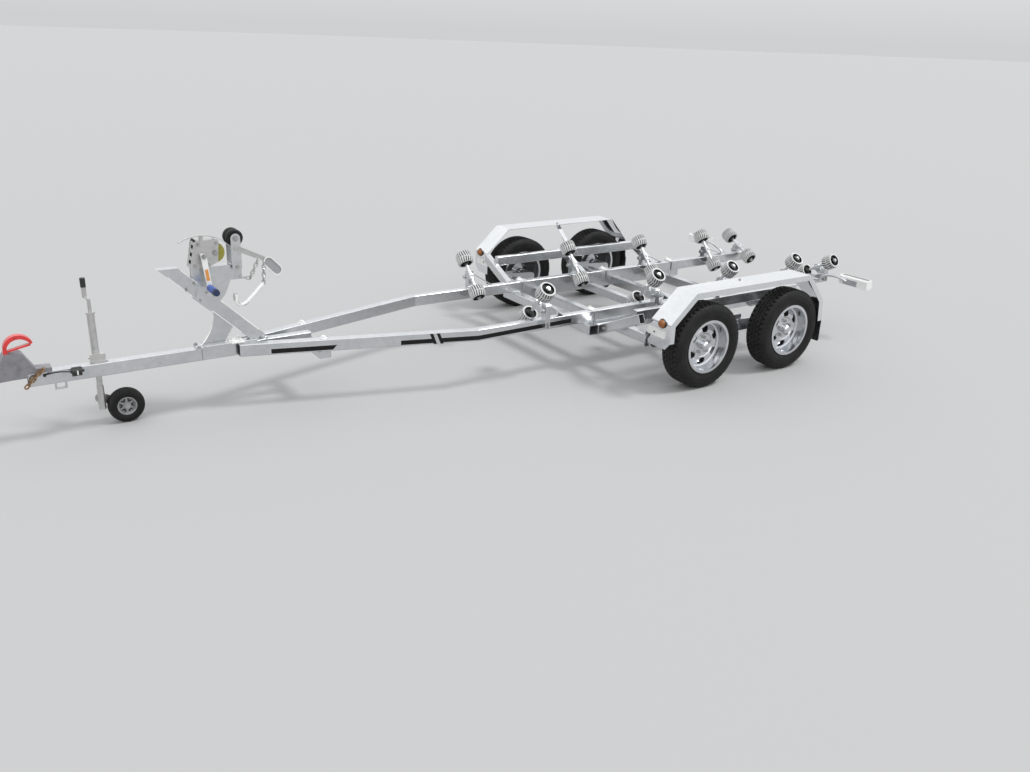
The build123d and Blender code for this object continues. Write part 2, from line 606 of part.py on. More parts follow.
def coupler():
    back, front, half = 3925.0, DRAW_FRONT_X, COUPLER_HALF
    side = outline(
        (back, DECK_TOP), (back, DECK_TOP + 22), (4004, DECK_TOP + 26), (4060, TOWER_TOP - 8),
        (4072, TOWER_TOP), (4150, TOWER_TOP), (4192, 486), (BALL_X, 476), (BALL_X, HEAD_BOTTOM),
        (front, HEAD_BOTTOM), (front, DECK_TOP),
    )
    widths = [(back, half), (4120, half), (4200, HEAD_R - 6), (BALL_X, HEAD_R - 4)]
    plan = outline(*widths, *[(x, -y) for x, y in reversed(widths)])
    body = side_plate(side, -HEAD_R, HEAD_R) & (Pos(0, 0, 300) * extrude(plan, 400))
    front_half = box(BALL_X - 80, NOSE_X + 10, -80, 80, HEAD_BOTTOM, 600)
    head = Pos(BALL_X, 0, BALL_Z + 3) * Sphere(HEAD_R) & front_half
    hollow = outline(
        (4062, 300), (4062, 440), (4082, 538), (4140, 538), (4178, 470), (4192, 440), (4192, 300),
    )
    body = body + head - side_plate(hollow, 8 - half, half - 8)
    socket = Pos(BALL_X, 0, BALL_Z) * Sphere(BALL_R) + rod((BALL_X, 0, 300), (BALL_X, 0, BALL_Z), BALL_R)
    return body - socket


def coupler_handle():
    outer = ThreePointArc((3998, 598), (4066, 648), (4146, 588))
    inner = ThreePointArc((4128, 584), (4066, 626), (4010, 590))
    band = make_face([outer, Line((4146, 588), (4128, 584)), inner, Line((4010, 590), (3998, 598))])
    leg = outline((4128, TOWER_TOP), (4150, TOWER_TOP), (4146, 592), (4128, 592))
    lever = outline((4012, 592), (4132, 566), (4132, 556), (4008, 582))
    grip = side_plate(band, -20, 20) + side_plate(leg, -18, 18)
    return grip + side_plate(lever, -14, 14)


# Jockey wheel on the right side of the drawbar: clamp, tubes, crank, trailing fork and wheel
JOCKEY_X, JOCKEY_Y = 3674.0, -85.0
JOCKEY_TOP, JOCKEY_BOTTOM = 701.0, 332.0
JOCKEY_R, JOCKEY_BORE = 21.0, 17.0
INNER_R, SLEEVE_R = 16.92, 20.0
JW_R, JW_HALF, JW_RIM_R = 105.0, 38.0, 56.0
JW_GAP = 6.0
JW_X = JOCKEY_X - SLEEVE_R - JW_R - JW_GAP
SLEEVE_TOP = JW_R + 150.0
INNER_FOOT, INNER_TOP = SLEEVE_TOP + 0.5, 600.0
ARM_Y, ARM_T = JOCKEY_Y - JW_HALF - JW_GAP, 6.0


def jockey_outer_tube():
    centre = Pos(JOCKEY_X, JOCKEY_Y)
    ring = centre * (Circle(JOCKEY_R) - Circle(JOCKEY_BORE))
    tube = Pos(0, 0, JOCKEY_BOTTOM) * extrude(ring, JOCKEY_TOP - JOCKEY_BOTTOM - 8)
    tube += Pos(0, 0, JOCKEY_TOP - 10) * extrude(centre * Circle(JOCKEY_R + 4), 10)
    edge = -DRAW_W / 2
    x, half = JOCKEY_X, JOCKEY_R + 13
    clamp = centre * Circle(half)
    clamp += outline((x - half, JOCKEY_Y), (x + half, JOCKEY_Y), (x + half + 9, edge), (x - half - 9, edge))
    clamp -= centre * Circle(JOCKEY_BORE + 2)
    tube += Pos(0, 0, 366) * extrude(clamp, 94)
    saddle = Pos(JOCKEY_X, (edge - 16) / 2 + 16) * RectangleRounded(96, 62, 16)
    tube += Pos(0, 0, DECK_TOP) * extrude(saddle, 10)
    screw = rod((JOCKEY_X, JOCKEY_Y - JOCKEY_R - 8, 402), (JOCKEY_X, JOCKEY_Y - 78, 402), 7)
    return tube + screw + rod((JOCKEY_X - 32, JOCKEY_Y - 74, 402), (JOCKEY_X + 32, JOCKEY_Y - 74, 402), 6)


def jockey_crank():
    top, turn, end = JOCKEY_TOP, JOCKEY_TOP + 74, JOCKEY_TOP + 188
    arm_x, arm_y = JOCKEY_X + 10, JOCKEY_Y - 60
    crank = rod((JOCKEY_X, JOCKEY_Y, top), (JOCKEY_X, JOCKEY_Y, turn + 4), 10)
    crank += bar((JOCKEY_X, JOCKEY_Y, turn), (arm_x, arm_y, turn + 8), 18, 8)
    return crank + rod((arm_x, arm_y + 6, turn), (arm_x, arm_y + 6, end), 13)


def jockey_fork():
    # sleeve under the inner tube with one arm on its far side, so the wheel's near face stays open
    fork = rod((JOCKEY_X, JOCKEY_Y, JW_R), (JOCKEY_X, JOCKEY_Y, SLEEVE_TOP), SLEEVE_R)
    fork += box(JOCKEY_X - 16, JOCKEY_X + 16, ARM_Y - ARM_T, JOCKEY_Y, JW_R + 4, JW_R + 84)
    arm = link_face((JOCKEY_X, JW_R + 52), 30, (JW_X, JW_R), 20)
    fork += side_plate(arm, ARM_Y - ARM_T, ARM_Y)
    return fork + rod((JW_X, ARM_Y - ARM_T - 6, JW_R), (JW_X, JOCKEY_Y + JW_HALF - 4, JW_R), PIN_R)


def jockey_tyre():
    half = JW_HALF
    side_line = [(JW_RIM_R, 8), (JW_RIM_R + 8, 3), (JW_RIM_R + 22, 0), (JW_R - 12, 3)]
    side_line += [(JW_R - 3, 12), (JW_R, 24)]
    profile = [(r, half - d) for r, d in side_line] + [(r, d - half) for r, d in reversed(side_line)]
    return spun(profile, JW_X, JOCKEY_Y, JW_R)


def jockey_rim():
    half, bore = JW_HALF - 8, PIN_R + SHAFT_FIT
    end_line = [(bore, -6), (20, -6), (20, 14), (JW_RIM_R - 10, 16), (JW_RIM_R - 5, 0), (JW_RIM_R, 0)]
    profile = [(r, half - d) for r, d in end_line] + [(r, d - half) for r, d in reversed(end_line)]
    return spun(profile, JW_X, JOCKEY_Y, JW_R)


# Tail lamps on arched round arms from the rails
LAMP_X, LAMP_Y, LAMP_Z, LAMP_HALF = -1966.0, 897.0, 460.0, 135.0
ARCH_R = 11.0


def lamp_arm():
    root, foot = (-1936.0, RAIL_OUT, 400.0), (-1936.0, 560.0, 400.0)
    crest = (-1904.0, 700.0, 474.0)
    arch = ThreePointArc(foot, crest, (-1934.0, LAMP_Y - 60, 452.0))
    arm = rod(root, foot, ARCH_R) + rod((foot[0], 546, foot[2]), (foot[0], 582, foot[2] + 2), ARCH_R + 4)
    arm += sweep(Plane(origin=arch @ 0, z_dir=arch % 0) * Circle(ARCH_R), path=arch)
    arm += box(-1956, -1916, RAIL_OUT, RAIL_OUT + PLATE, 370, 420)
    pad = box(LAMP_X + 26, LAMP_X + 31, LAMP_Y - 90, LAMP_Y + 40, LAMP_Z - 34, LAMP_Z + 10)
    return arm - box(LAMP_X - 100, LAMP_X + 26, 600, 1200, 300, 600) + pad


def tail_lamp():
    x1, z0, z1 = LAMP_X + 26, LAMP_Z - 40, LAMP_Z + 36
    back = outline((x1, z0 + 6), (x1, z1 - 12), (x1 - 10, z1), (x1 - 62, z1), (x1 - 62, z0), (x1 - 8, z0))
    body = side_plate(back, LAMP_Y - LAMP_HALF, LAMP_Y + LAMP_HALF)
    rim = 9.0
    half = LAMP_HALF - rim
    panel = box(x1 - 62 + rim, x1 - 10 - rim, LAMP_Y - half, LAMP_Y + half, z1 - 5, z1 + 1)
    lens = outline((x1 - 62, z0 + 8), (x1 - 62, z1 - 8), (x1 - 84, z1 - 16), (x1 - 84, z0 + 14))
    return body - panel + side_plate(lens, LAMP_Y - LAMP_HALF + 8, LAMP_Y + LAMP_HALF - 8)


# Front lamps on the guards: amber dome above a white marker
AMBER_Y, AMBER_Z, AMBER_R = 1154.0, 507.0, 37.0
MARKER_Y0, MARKER_Y1, MARKER_Z, MARKER_T = 1020.0, 1192.0, 434.0, 10.0
MARKER_HOLES = (1087.0,)


def front_lamp():
    x = GUARD_FRONT_X
    profile = outline((0, 0), (AMBER_R, 0), (AMBER_R, 10), (AMBER_R - 8, 24), (0, 32))
    dome = Pos(x, AMBER_Y, AMBER_Z) * Rot(0, 0, -90) * revolve(profile, Axis.Y, 360)
    marker = Pos((MARKER_Y0 + MARKER_Y1) / 2, MARKER_Z) * RectangleRounded(MARKER_Y1 - MARKER_Y0, 50, 10)
    for y in MARKER_HOLES:
        marker -= Pos(y, MARKER_Z) * Circle(8)
    return dome, cross_plate(marker, x, x + MARKER_T)


# Safety chain from the coupler's base down beside the drawbar
CHAIN_Y = COUPLER_HALF + CHAIN.width / 2


def safety_chain():
    top, low = (3968, CHAIN_Y, 452), (4070, CHAIN_Y, 352)
    bolt = rod((3972, COUPLER_HALF, 440), (3972, CHAIN_Y + 14, 440), 6)
    return chain(top, low) + bolt


# Parked plug on the drawbar's left side with its short lead into the tube
PLUG_X0, PLUG_X1, PLUG_Y, PLUG_Z, PLUG_R = 3780.0, 3830.0, 56.0, 408.0, 26.0
LEAD_R = 4.0
GROMMET = (3967.0, 30.0, 404.0)


def plug_lead():
    plug = rod((PLUG_X0, PLUG_Y, PLUG_Z), (PLUG_X1, PLUG_Y, PLUG_Z), PLUG_R)
    plug += rod((PLUG_X0 - 14, PLUG_Y, PLUG_Z), (PLUG_X0 + 1, PLUG_Y, PLUG_Z), 8)
    route = ThreePointArc((PLUG_X1 - 2, PLUG_Y, PLUG_Z), (3915, 50, 418), (GROMMET[0], 31, GROMMET[2]))
    lead = sweep(Plane(origin=route @ 0, z_dir=route % 0) * Circle(LEAD_R), path=route)
    x, y, z = GROMMET
    return plug + (lead - box(3700, 4100, 0, y, 300, 500)) + rod((x, y, z), (x, y + 5, z), 9)


# All pieces by name
for name, side in SIDES.items():
    keep("rail_" + name, mirrored(rail(), side))
    keep("guard_" + name, mirrored(guard(), side))
    for axle, x in AXLE_X.items():
        keep(f"tyre_{axle}_{name}", mirrored(tyre(x), side))
        keep(f"rim_{axle}_{name}", mirrored(rim(x), side))
    for pair in PAIRS:
        keep(f"rocker_{pair.name}_{name}", mirrored(rocker(pair), side))
        keep(f"rollers_{pair.name}_{name}", *[mirrored(shape, side) for shape in rollers(pair)])

keep("drawbar", drawbar())
keep("sub_frame", sub_frame())
keep("tie_tube", tie_tube())
keep("guard_beams", *both_sides(side_beam()))
keep("axle_units", *[shape for x in AXLE_X.values() for shape in both_sides(axle_unit(x))])
keep("mudflaps", *both_sides(mudflap()))
keep("roller_stands", *[shape for pair in PAIRS for shape in both_sides(stand(pair))])
keep("lamp_arms", *both_sides(lamp_arm()))
keep("tail_lamps", *both_sides(tail_lamp()))
keep("amber_lamps", *[mirrored(shape, side) for side in SIDES.values() for shape in front_lamp()])

SINGLE = [winch_post, winch_arm, winch_frame, winch_drum, winch_handle]
SINGLE += [bow_roller_bracket, bow_roller, bow_hook, coupler, coupler_handle, safety_chain, plug_lead]
SINGLE += [jockey_outer_tube, jockey_crank, jockey_fork, jockey_tyre, jockey_rim]
for build in SINGLE:
    keep(build.__name__, build())
keep("jockey_inner_tube", rod((JOCKEY_X, JOCKEY_Y, INNER_FOOT), (JOCKEY_X, JOCKEY_Y, INNER_TOP), INNER_R))

# Whole trailer moved so that its middle is at X zero
os.makedirs("parts", exist_ok=True)
X_MID = (NOSE_X + TAIL_X) / 2
for name, shape in parts.items():
    export_step(Pos(-X_MID, 0, 0) * shape, f"parts/{name}.step")
print(len(parts), "nodes")
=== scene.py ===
import bpy
import math
from mathutils import Matrix, Vector


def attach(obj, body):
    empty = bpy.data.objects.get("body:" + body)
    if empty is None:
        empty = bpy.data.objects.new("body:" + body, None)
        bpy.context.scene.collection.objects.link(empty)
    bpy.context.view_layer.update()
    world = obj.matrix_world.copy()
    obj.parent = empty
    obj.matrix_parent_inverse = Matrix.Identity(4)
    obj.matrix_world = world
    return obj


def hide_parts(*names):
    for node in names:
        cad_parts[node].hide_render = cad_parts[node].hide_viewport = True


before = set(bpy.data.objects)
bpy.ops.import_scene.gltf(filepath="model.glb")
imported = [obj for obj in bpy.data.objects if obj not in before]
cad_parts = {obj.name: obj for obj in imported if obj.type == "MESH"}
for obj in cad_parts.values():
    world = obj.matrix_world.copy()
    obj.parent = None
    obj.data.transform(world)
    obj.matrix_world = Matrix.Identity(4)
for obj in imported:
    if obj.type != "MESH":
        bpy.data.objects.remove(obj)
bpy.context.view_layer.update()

# Sizes in metres. Points are given from the front axle, as in the part, and moved by SHIFT into the frame.
SHIFT = -1.075
X_AXIS, Y_AXIS, Z_AXIS = Vector((1, 0, 0)), Vector((0, 1, 0)), Vector((0, 0, 1))
SIDES = {"left": 1, "right": -1}
AXLES = {"front": 0.0, "rear": -0.826}
TYRE_R, TRACK_HALF = 0.302, 1.145
RAIL_OUT, DECK_TOP, DECK_BOTTOM = 0.491, 0.425, 0.345
KINK_X, RAIL_END_X, RAIL_END_Y = 1.406, 2.880, 0.072
RAIL_SLOPE = (RAIL_OUT - RAIL_END_Y) / (RAIL_END_X - KINK_X)
# Place along the trailer, height and lean in degrees of each roller pair's pin
PAIRS = {
    "1": (0.915, 0.497, 48.0), "2": (-0.086, 0.485, 48.0), "3": (-0.862, 0.466, 48.0),
    "4": (-1.610, 0.452, 48.0), "5": (-2.028, 0.431, 29.0),
}


def at(x, y, z):
    return Vector((x + SHIFT, y, z))


def mirrored(point, side):
    x, y, z = point
    return at(x, side * y, z)


# Materials
def material(name, color, rough, metal=0.0, coat=0.0):
    made = bpy.data.materials.new(name)
    made.use_nodes = True
    shader = made.node_tree.nodes["Principled BSDF"]
    shader.inputs["Base Color"].default_value = (*color, 1.0)
    shader.inputs["Roughness"].default_value = rough
    shader.inputs["Metallic"].default_value = metal
    shader.inputs["Coat Weight"].default_value = coat
    return made


def coordinates(made):
    return made.node_tree.nodes.new("ShaderNodeTexCoord").outputs["Object"]


def ramp(made, factor, low, high, start, end):
    nodes, links = made.node_tree.nodes, made.node_tree.links
    node = nodes.new("ShaderNodeValToRGB")
    for element, place, color in zip(node.color_ramp.elements, (start, end), (low, high)):
        element.position = place
        element.color = (*color, 1.0)
    links.new(factor, node.inputs["Fac"])
    return node.outputs["Color"]


def noise(made, vector, scale, detail=4.0):
    nodes, links = made.node_tree.nodes, made.node_tree.links
    node = nodes.new("ShaderNodeTexNoise")
    node.inputs["Scale"].default_value = scale
    node.inputs["Detail"].default_value = detail
    links.new(vector, node.inputs["Vector"])
    return node.outputs["Fac"]


def multiplied(made, first, second):
    nodes, links = made.node_tree.nodes, made.node_tree.links
    node = nodes.new("ShaderNodeMix")
    node.data_type, node.blend_type = "RGBA", "MULTIPLY"
    # the colour mix's own sockets: factor, first and second colour, result
    factor, color_a, color_b, result = node.inputs[0], node.inputs[6], node.inputs[7], node.outputs[2]
    factor.default_value = 1.0
    links.new(first, color_a)
    links.new(second, color_b)
    return result


def bump(made, height, distance, strength):
    nodes, links = made.node_tree.nodes, made.node_tree.links
    node = nodes.new("ShaderNodeBump")
    node.inputs["Distance"].default_value = distance
    node.inputs["Strength"].default_value = strength
    links.new(height, node.inputs["Height"])
    links.new(node.outputs["Normal"], nodes["Principled BSDF"].inputs["Normal"])


def set_color(made, output):
    made.node_tree.links.new(output, made.node_tree.nodes["Principled BSDF"].inputs["Base Color"])


# Patterns: size, detail, and the noise levels between which one colour turns into the other
CLOUD_SCALE, CLOUD_DETAIL, CLOUD_LEVELS = 3.5, 6.0, (0.30, 0.70)
CLOUD_DARK, CLOUD_LIGHT = (0.90, 0.91, 0.92), (1.0, 1.0, 1.0)
WAVE_SCALE, WAVE_DETAIL, WAVE_DEPTH, WAVE_STRENGTH = 6.0, 1.0, 0.0006, 0.20
DUST_SCALE, DUST_DETAIL, DUST_LEVELS, RUBBER_SHINE = 14.0, 6.0, (0.42, 0.78), 0.25
WEAR_LEVELS = (0.45, 0.75)
GRAIN_SCALE, GRAIN_DETAIL, GRAIN_DEPTH, GRAIN_STRENGTH = 420.0, 2.0, 0.0004, 0.35


def galvanised(name, dark, light, rough, metal, spangle):
    # zinc coat: crystals of slightly different grey, dull clouds and a slightly wavy surface
    made = material(name, light, rough, metal)
    nodes, links = made.node_tree.nodes, made.node_tree.links
    vector = coordinates(made)
    cells = nodes.new("ShaderNodeTexVoronoi")
    cells.inputs["Scale"].default_value = spangle
    links.new(vector, cells.inputs["Vector"])
    grain = nodes.new("ShaderNodeSeparateColor")
    links.new(cells.outputs["Color"], grain.inputs["Color"])
    crystals = ramp(made, grain.outputs["Red"], dark, light, 0.0, 1.0)
    patches = noise(made, vector, CLOUD_SCALE, CLOUD_DETAIL)
    clouds = ramp(made, patches, CLOUD_DARK, CLOUD_LIGHT, *CLOUD_LEVELS)
    set_color(made, multiplied(made, crystals, clouds))
    bump(made, noise(made, vector, WAVE_SCALE, WAVE_DETAIL), WAVE_DEPTH, WAVE_STRENGTH)
    return made


def rubber(name, color, dust, rough):
    made = material(name, color, rough)
    made.node_tree.nodes["Principled BSDF"].inputs["Specular IOR Level"].default_value = RUBBER_SHINE
    vector = coordinates(made)
    patches = noise(made, vector, DUST_SCALE, DUST_DETAIL)
    set_color(made, ramp(made, patches, color, dust, *DUST_LEVELS))
    bump(made, noise(made, vector, GRAIN_SCALE, GRAIN_DETAIL), GRAIN_DEPTH, GRAIN_STRENGTH)
    return made


def patchy(name, color, worn, rough, metal, scale, coat=0.0):
    made = material(name, color, rough, metal, coat)
    set_color(made, ramp(made, noise(made, coordinates(made), scale), color, worn, *WEAR_LEVELS))
    return made


# Two colours, roughness, metal share, size of the crystals
GALV = galvanised("galvanised steel", (0.60, 0.61, 0.62), (0.66, 0.67, 0.68), 0.24, 0.92, 42.0)
GUARD = galvanised("bright galvanised sheet", (0.80, 0.81, 0.82), (0.83, 0.84, 0.85), 0.08, 0.97, 34.0)
RIM = galvanised("galvanised wheel", (0.62, 0.63, 0.65), (0.68, 0.69, 0.71), 0.17, 0.93, 60.0)
WELD = galvanised("weld bead", (0.46, 0.46, 0.47), (0.60, 0.60, 0.61), 0.5, 0.6, 90.0)
# Two colours, roughness, metal share, size of the patches, clear coat
ZINC = patchy("zinc plated steel", (0.55, 0.55, 0.54), (0.46, 0.46, 0.45), 0.30, 0.85, 30.0)
CAST = patchy("grey coupler steel", (0.26, 0.255, 0.275), (0.19, 0.185, 0.20), 0.40, 0.6, 25.0)
BOLT = patchy("bolt zinc", (0.44, 0.44, 0.43), (0.34, 0.34, 0.33), 0.35, 0.9, 30.0)
# bright new zinc, and also the painted highlights along the winch post's corners and gusset edges
BRIGHT = patchy("bright new zinc and painted highlights", (0.84, 0.84, 0.83), (0.76, 0.76, 0.75), 0.25, 0.30, 40.0)
SEAM = patchy("shadowed seam", (0.14, 0.14, 0.14), (0.20, 0.20, 0.20), 0.6, 0.3, 40.0)
# painted shade: dark colour of the ring behind the wheels' disc windows
SHADE = patchy("painted shade behind wheel windows", (0.030, 0.030, 0.031), (0.050, 0.050, 0.049), 0.7, 0.2, 40.0)
CHAIN = patchy("rusty chain", (0.28, 0.17, 0.085), (0.17, 0.095, 0.05), 0.5, 0.6, 50.0)
# Rubber's own colour, that of its dust, and roughness
TYRE = rubber("tyre rubber", (0.006, 0.006, 0.006), (0.014, 0.014, 0.013), 0.6)
TYRE_TOP = rubber("dusty tread", (0.018, 0.018, 0.017), (0.040, 0.039, 0.037), 0.75)
# painted shade: tread grooves are coloured darker than the rubber itself
TYRE_GROOVE_SHADE = rubber("painted shade in tread grooves", (0.002, 0.002, 0.002), (0.004, 0.004, 0.004), 0.9)
ROLLER_TOP = rubber("roller rubber", (0.52, 0.52, 0.52), (0.62, 0.62, 0.61), 0.6)
# painted shade: the grooves between the rollers' ribs are coloured dark to stand for the shade in them
ROLLER_GROOVE_SHADE = rubber("painted shade in roller grooves", (0.045, 0.045, 0.045), (0.085, 0.085, 0.083), 0.8)
# black rubber of the bow roller, and also painted shade in the keel rollers' recessed ends
DARK = rubber("black rubber", (0.012, 0.012, 0.012), (0.025, 0.025, 0.026), 0.6)
FLAP = rubber("mudflap rubber", (0.014, 0.014, 0.015), (0.040, 0.040, 0.038), 0.8)
PAINT = rubber("black stripe", (0.003, 0.003, 0.003), (0.007, 0.007, 0.007), 0.6)
# Plastic, paint and the strap, as the patchy steels
LAMP_BODY = patchy("pale lamp housing", (0.82, 0.82, 0.81), (0.74, 0.74, 0.73), 0.25, 0.2, 30.0)
LAMP_PANEL = patchy("dark lamp panel", (0.09, 0.085, 0.09), (0.13, 0.11, 0.09), 0.25, 0.0, 30.0)
GREY = patchy("grey plastic", (0.30, 0.30, 0.31), (0.24, 0.24, 0.25), 0.45, 0.0, 50.0)
RED = patchy("red paint", (0.60, 0.03, 0.03), (0.42, 0.02, 0.02), 0.30, 0.0, 40.0, 0.3)
BLUE = patchy("blue plastic", (0.022, 0.080, 0.34), (0.016, 0.055, 0.25), 0.35, 0.0, 60.0)
NAVY = patchy("dark blue plastic", (0.012, 0.025, 0.080), (0.010, 0.020, 0.055), 0.4, 0.0, 60.0)
ORANGE = patchy("orange label", (0.64, 0.26, 0.06), (0.52, 0.20, 0.04), 0.45, 0.0, 60.0)
# black plastic, and also the painted shade in the jockey rim's hollows
BLACK = patchy("black plastic", (0.012, 0.012, 0.013), (0.03, 0.03, 0.03), 0.45, 0.0, 40.0)
WHITE = patchy("white plastic", (0.72, 0.72, 0.70), (0.60, 0.60, 0.58), 0.40, 0.0, 40.0)
AMBER = patchy("amber lens", (0.25, 0.082, 0.010), (0.17, 0.052, 0.006), 0.2, 0.0, 60.0, 0.3)
LENS_RED = patchy("red lens", (0.50, 0.012, 0.014), (0.38, 0.008, 0.01), 0.15, 0.0, 60.0, 0.6)
STRAP = patchy("woven strap", (0.27, 0.25, 0.045), (0.18, 0.17, 0.035), 0.85, 0.0, 90.0)

# Nodes that aren't of plain galvanised steel
NODE_LOOKS = {
    "guard_left": GUARD, "guard_right": GUARD, "mudflaps": FLAP, "winch_frame": ZINC, "coupler": CAST,
    "coupler_handle": RED, "jockey_outer_tube": ZINC, "jockey_inner_tube": ZINC, "jockey_crank": ZINC,
    "jockey_fork": ZINC, "jockey_rim": GREY, "jockey_tyre": TYRE, "tail_lamps": LAMP_BODY,
    "amber_lamps": WHITE, "bow_hook": ZINC, "safety_chain": CHAIN, "plug_lead": BLACK, "bow_roller": DARK,
    "winch_drum": STRAP, "winch_handle": BRIGHT,
}
for name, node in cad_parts.items():
    look = RIM if name.startswith("rim_") else NODE_LOOKS.get(name, GALV)
    node.data.materials.clear()
    node.data.materials.append(look)


# Shapes
class Pile:
    """Faces of many small pieces that ride on one body, by material."""

    def __init__(self, name, body):
        self.name, self.body = name, body
        self.points, self.faces, self.looks, self.look_of, self.smooth = [], [], [], [], []

    def place(self, points):
        # adds points and gives the number of the first one
        first = len(self.points)
        self.points += [tuple(p) for p in points]
        return first

    def join(self, first, faces, look, smooth):
        # faces on placed points, which they count from the first one
        if look not in self.looks:
            self.looks.append(look)
        for face in faces:
            self.faces.append([first + i for i in face])
            self.look_of.append(self.looks.index(look))
            self.smooth.append(smooth)

    def add(self, points, faces, look, smooth=True):
        self.join(self.place(points), faces, look, smooth)

    def made(self):
        mesh = bpy.data.meshes.new(self.name)
        mesh.from_pydata(self.points, [], self.faces)
        for look in self.looks:
            mesh.materials.append(look)
        for face, look, smooth in zip(mesh.polygons, self.look_of, self.smooth):
            face.material_index, face.use_smooth = look, smooth
        mesh.update()
        shape = bpy.data.objects.new(self.name, mesh)
        bpy.context.collection.objects.link(shape)
        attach(shape, self.body)
        return shape


def axes(along):
    # two vectors square to a direction, and the direction
    along = Vector(along).normalized()
    side = along.orthogonal().normalized()
    return side, along.cross(side), along


# Sides of round shapes from nuts, fine rods and bolts to washers and large ones
NUT_SIDES, ROD_SIDES, BOLT_SIDES, BAR_SIDES, WASHER_SIDES, GRIP_SIDES, LARGE_SIDES = 6, 10, 12, 14, 20, 28, 48


def circle(centre, u, v, radius, count):
    # points round a centre, in the plane of two unit vectors
    turns = [2 * math.pi * i / count for i in range(count)]
    return [centre + u * radius * math.cos(t) + v * radius * math.sin(t) for t in turns]


def cylinder(pile, a, b, radius, look, sides, end_radius=None, smooth=True):
    a, b = Vector(a), Vector(b)
    u, v, _ = axes(b - a)
    end = radius if end_radius is None else end_radius
    points = circle(a, u, v, radius, sides) + circle(b, u, v, end, sides)
    ring = range(sides)
    pile.add(points, [(i, (i + 1) % sides, sides + (i + 1) % sides, sides + i) for i in ring], look, smooth)
    pile.add(points, [tuple(reversed(ring)), tuple(range(sides, 2 * sides))], look, False)


def block(pile, low, high, look):
    (x0, y0, z0), (x1, y1, z1) = low, high
    points = [(x, y, z) for x in (x0, x1) for y in (y0, y1) for z in (z0, z1)]
    faces = [(0, 1, 3, 2), (4, 6, 7, 5), (0, 4, 5, 1), (2, 3, 7, 6), (0, 2, 6, 4), (1, 5, 7, 3)]
    pile.add(points, faces, look, False)


def side_block(pile, side, along, out, up, look):
    # block on one side of the trailer, between two places each way
    low, high = sorted((side * out[0], side * out[1]))
    block(pile, at(along[0], low, up[0]), at(along[1], high, up[1]), look)


def nut(pile, centre, along, radius, height, look=BOLT):
    start = Vector(centre)
    end = start + Vector(along).normalized() * height
    cylinder(pile, start, end, radius, look, NUT_SIDES, None, False)


# Shares of a bolt's nut radius
WASHER_T, WASHER_R, NUT_T, STUD_LONG, STUD_R = 0.22, 1.5, 0.75, 1.25, 0.5


def washer_bolt(pile, centre, along, radius, look=BOLT):
    along, start = Vector(along).normalized(), Vector(centre)
    seat = start + along * radius * WASHER_T
    cylinder(pile, start, seat, radius * WASHER_R, look, WASHER_SIDES)
    nut(pile, seat, along, radius, radius * NUT_T, look)
    cylinder(pile, start, start + along * radius * STUD_LONG, radius * STUD_R, look, BOLT_SIDES)


def surface(pile, rows, look, smooth=True):
    # closed rings joined one to the next; look is a material, or a function of ring and step that gives one
    count = len(rows[0])
    faces = {}
    for j in range(len(rows) - 1):
        for i in range(count):
            k = (i + 1) % count
            chosen = look(j, i) if callable(look) else look
            face = (j * count + i, j * count + k, (j + 1) * count + k, (j + 1) * count + i)
            faces.setdefault(chosen, []).append(face)
    first = pile.place([p for row in rows for p in row])
    for chosen, group in faces.items():
        pile.join(first, group, chosen, smooth)


def tube(pile, line, radius, look, sides):
    # bent round bar through a line of points across the trailer's width
    rows = []
    for i, point in enumerate(line):
        _, _, along = axes(Vector(line[min(i + 1, len(line) - 1)]) - Vector(line[max(i - 1, 0)]))
        rows.append(circle(Vector(point), Y_AXIS, along.cross(Y_AXIS).normalized(), radius, sides))
    surface(pile, rows, look)


def wave(t):
    # triangle wave between -1 and 1
    t = t % 1.0
    return 4 * t - 1 if t < 0.5 else 3 - 4 * t


# Road tyres with zigzag tread, in the outline of the part's tyres
# Radius and half width along a tyre's side, from its bead to its tread
SIDE_LINE = [
    (0.1760, 0.0750), (0.1850, 0.0752), (0.1930, 0.0752), (0.1960, 0.0765), (0.1990, 0.0768),
    (0.2100, 0.0815), (0.2240, 0.0858), (0.2280, 0.0862), (0.2300, 0.0872), (0.2340, 0.0876),
    (0.2360, 0.0868), (0.2440, 0.0878), (0.2520, 0.0886), (0.2620, 0.0872), (0.2660, 0.0866),
    (0.2680, 0.0850), (0.2720, 0.0842), (0.2750, 0.0826), (0.2830, 0.0790), (0.2895, 0.0750),
    (0.2955, 0.0700), (0.2990, 0.0660), (0.3003, 0.0635),
]
TREAD_HALF, TREAD_STEPS, TREAD_DROP, TYRE_STEPS, PITCHES = 0.0630, 60, 0.0025, 300, 50
# Place across the tread and phase of each zigzag groove
GROOVE_LINES = ((-0.040, 0.0), (-0.0135, 0.5), (0.0135, 0.0), (0.040, 0.5))
ZIGZAG, GROOVE_HALF, GROOVE_DEEP = 0.0032, 0.0042, 0.0085
SHOULDER_FROM, SHOULDER_PHASE, SHOULDER_SHARE, SHOULDER_DEEP = 0.046, 0.04, 0.34, 0.0050
SIPES_TO, SIPE_LEAN, SIPE_SHARE, SIPE_DEEP = 0.036, 14, 0.16, 0.0040
NOTCH_FROM_R, NOTCH_SHARE, NOTCH_DEEP = 0.284, 0.28, 0.002


def groove(turn, across):
    # depth of the tread pattern at a share of the turn and a place across the tread
    depth = 0.0
    for centre, phase in GROOVE_LINES:
        line = centre + ZIGZAG * wave(turn * PITCHES + phase)
        if abs(across - line) < GROOVE_HALF:
            depth = GROOVE_DEEP
    if abs(across) > SHOULDER_FROM and (turn * PITCHES + SHOULDER_PHASE) % 1.0 < SHOULDER_SHARE:
        depth = max(depth, SHOULDER_DEEP)
    if abs(across) < SIPES_TO and (turn * 2 * PITCHES + across * SIPE_LEAN) % 1.0 < SIPE_SHARE:
        depth = max(depth, SIPE_DEEP)
    return depth


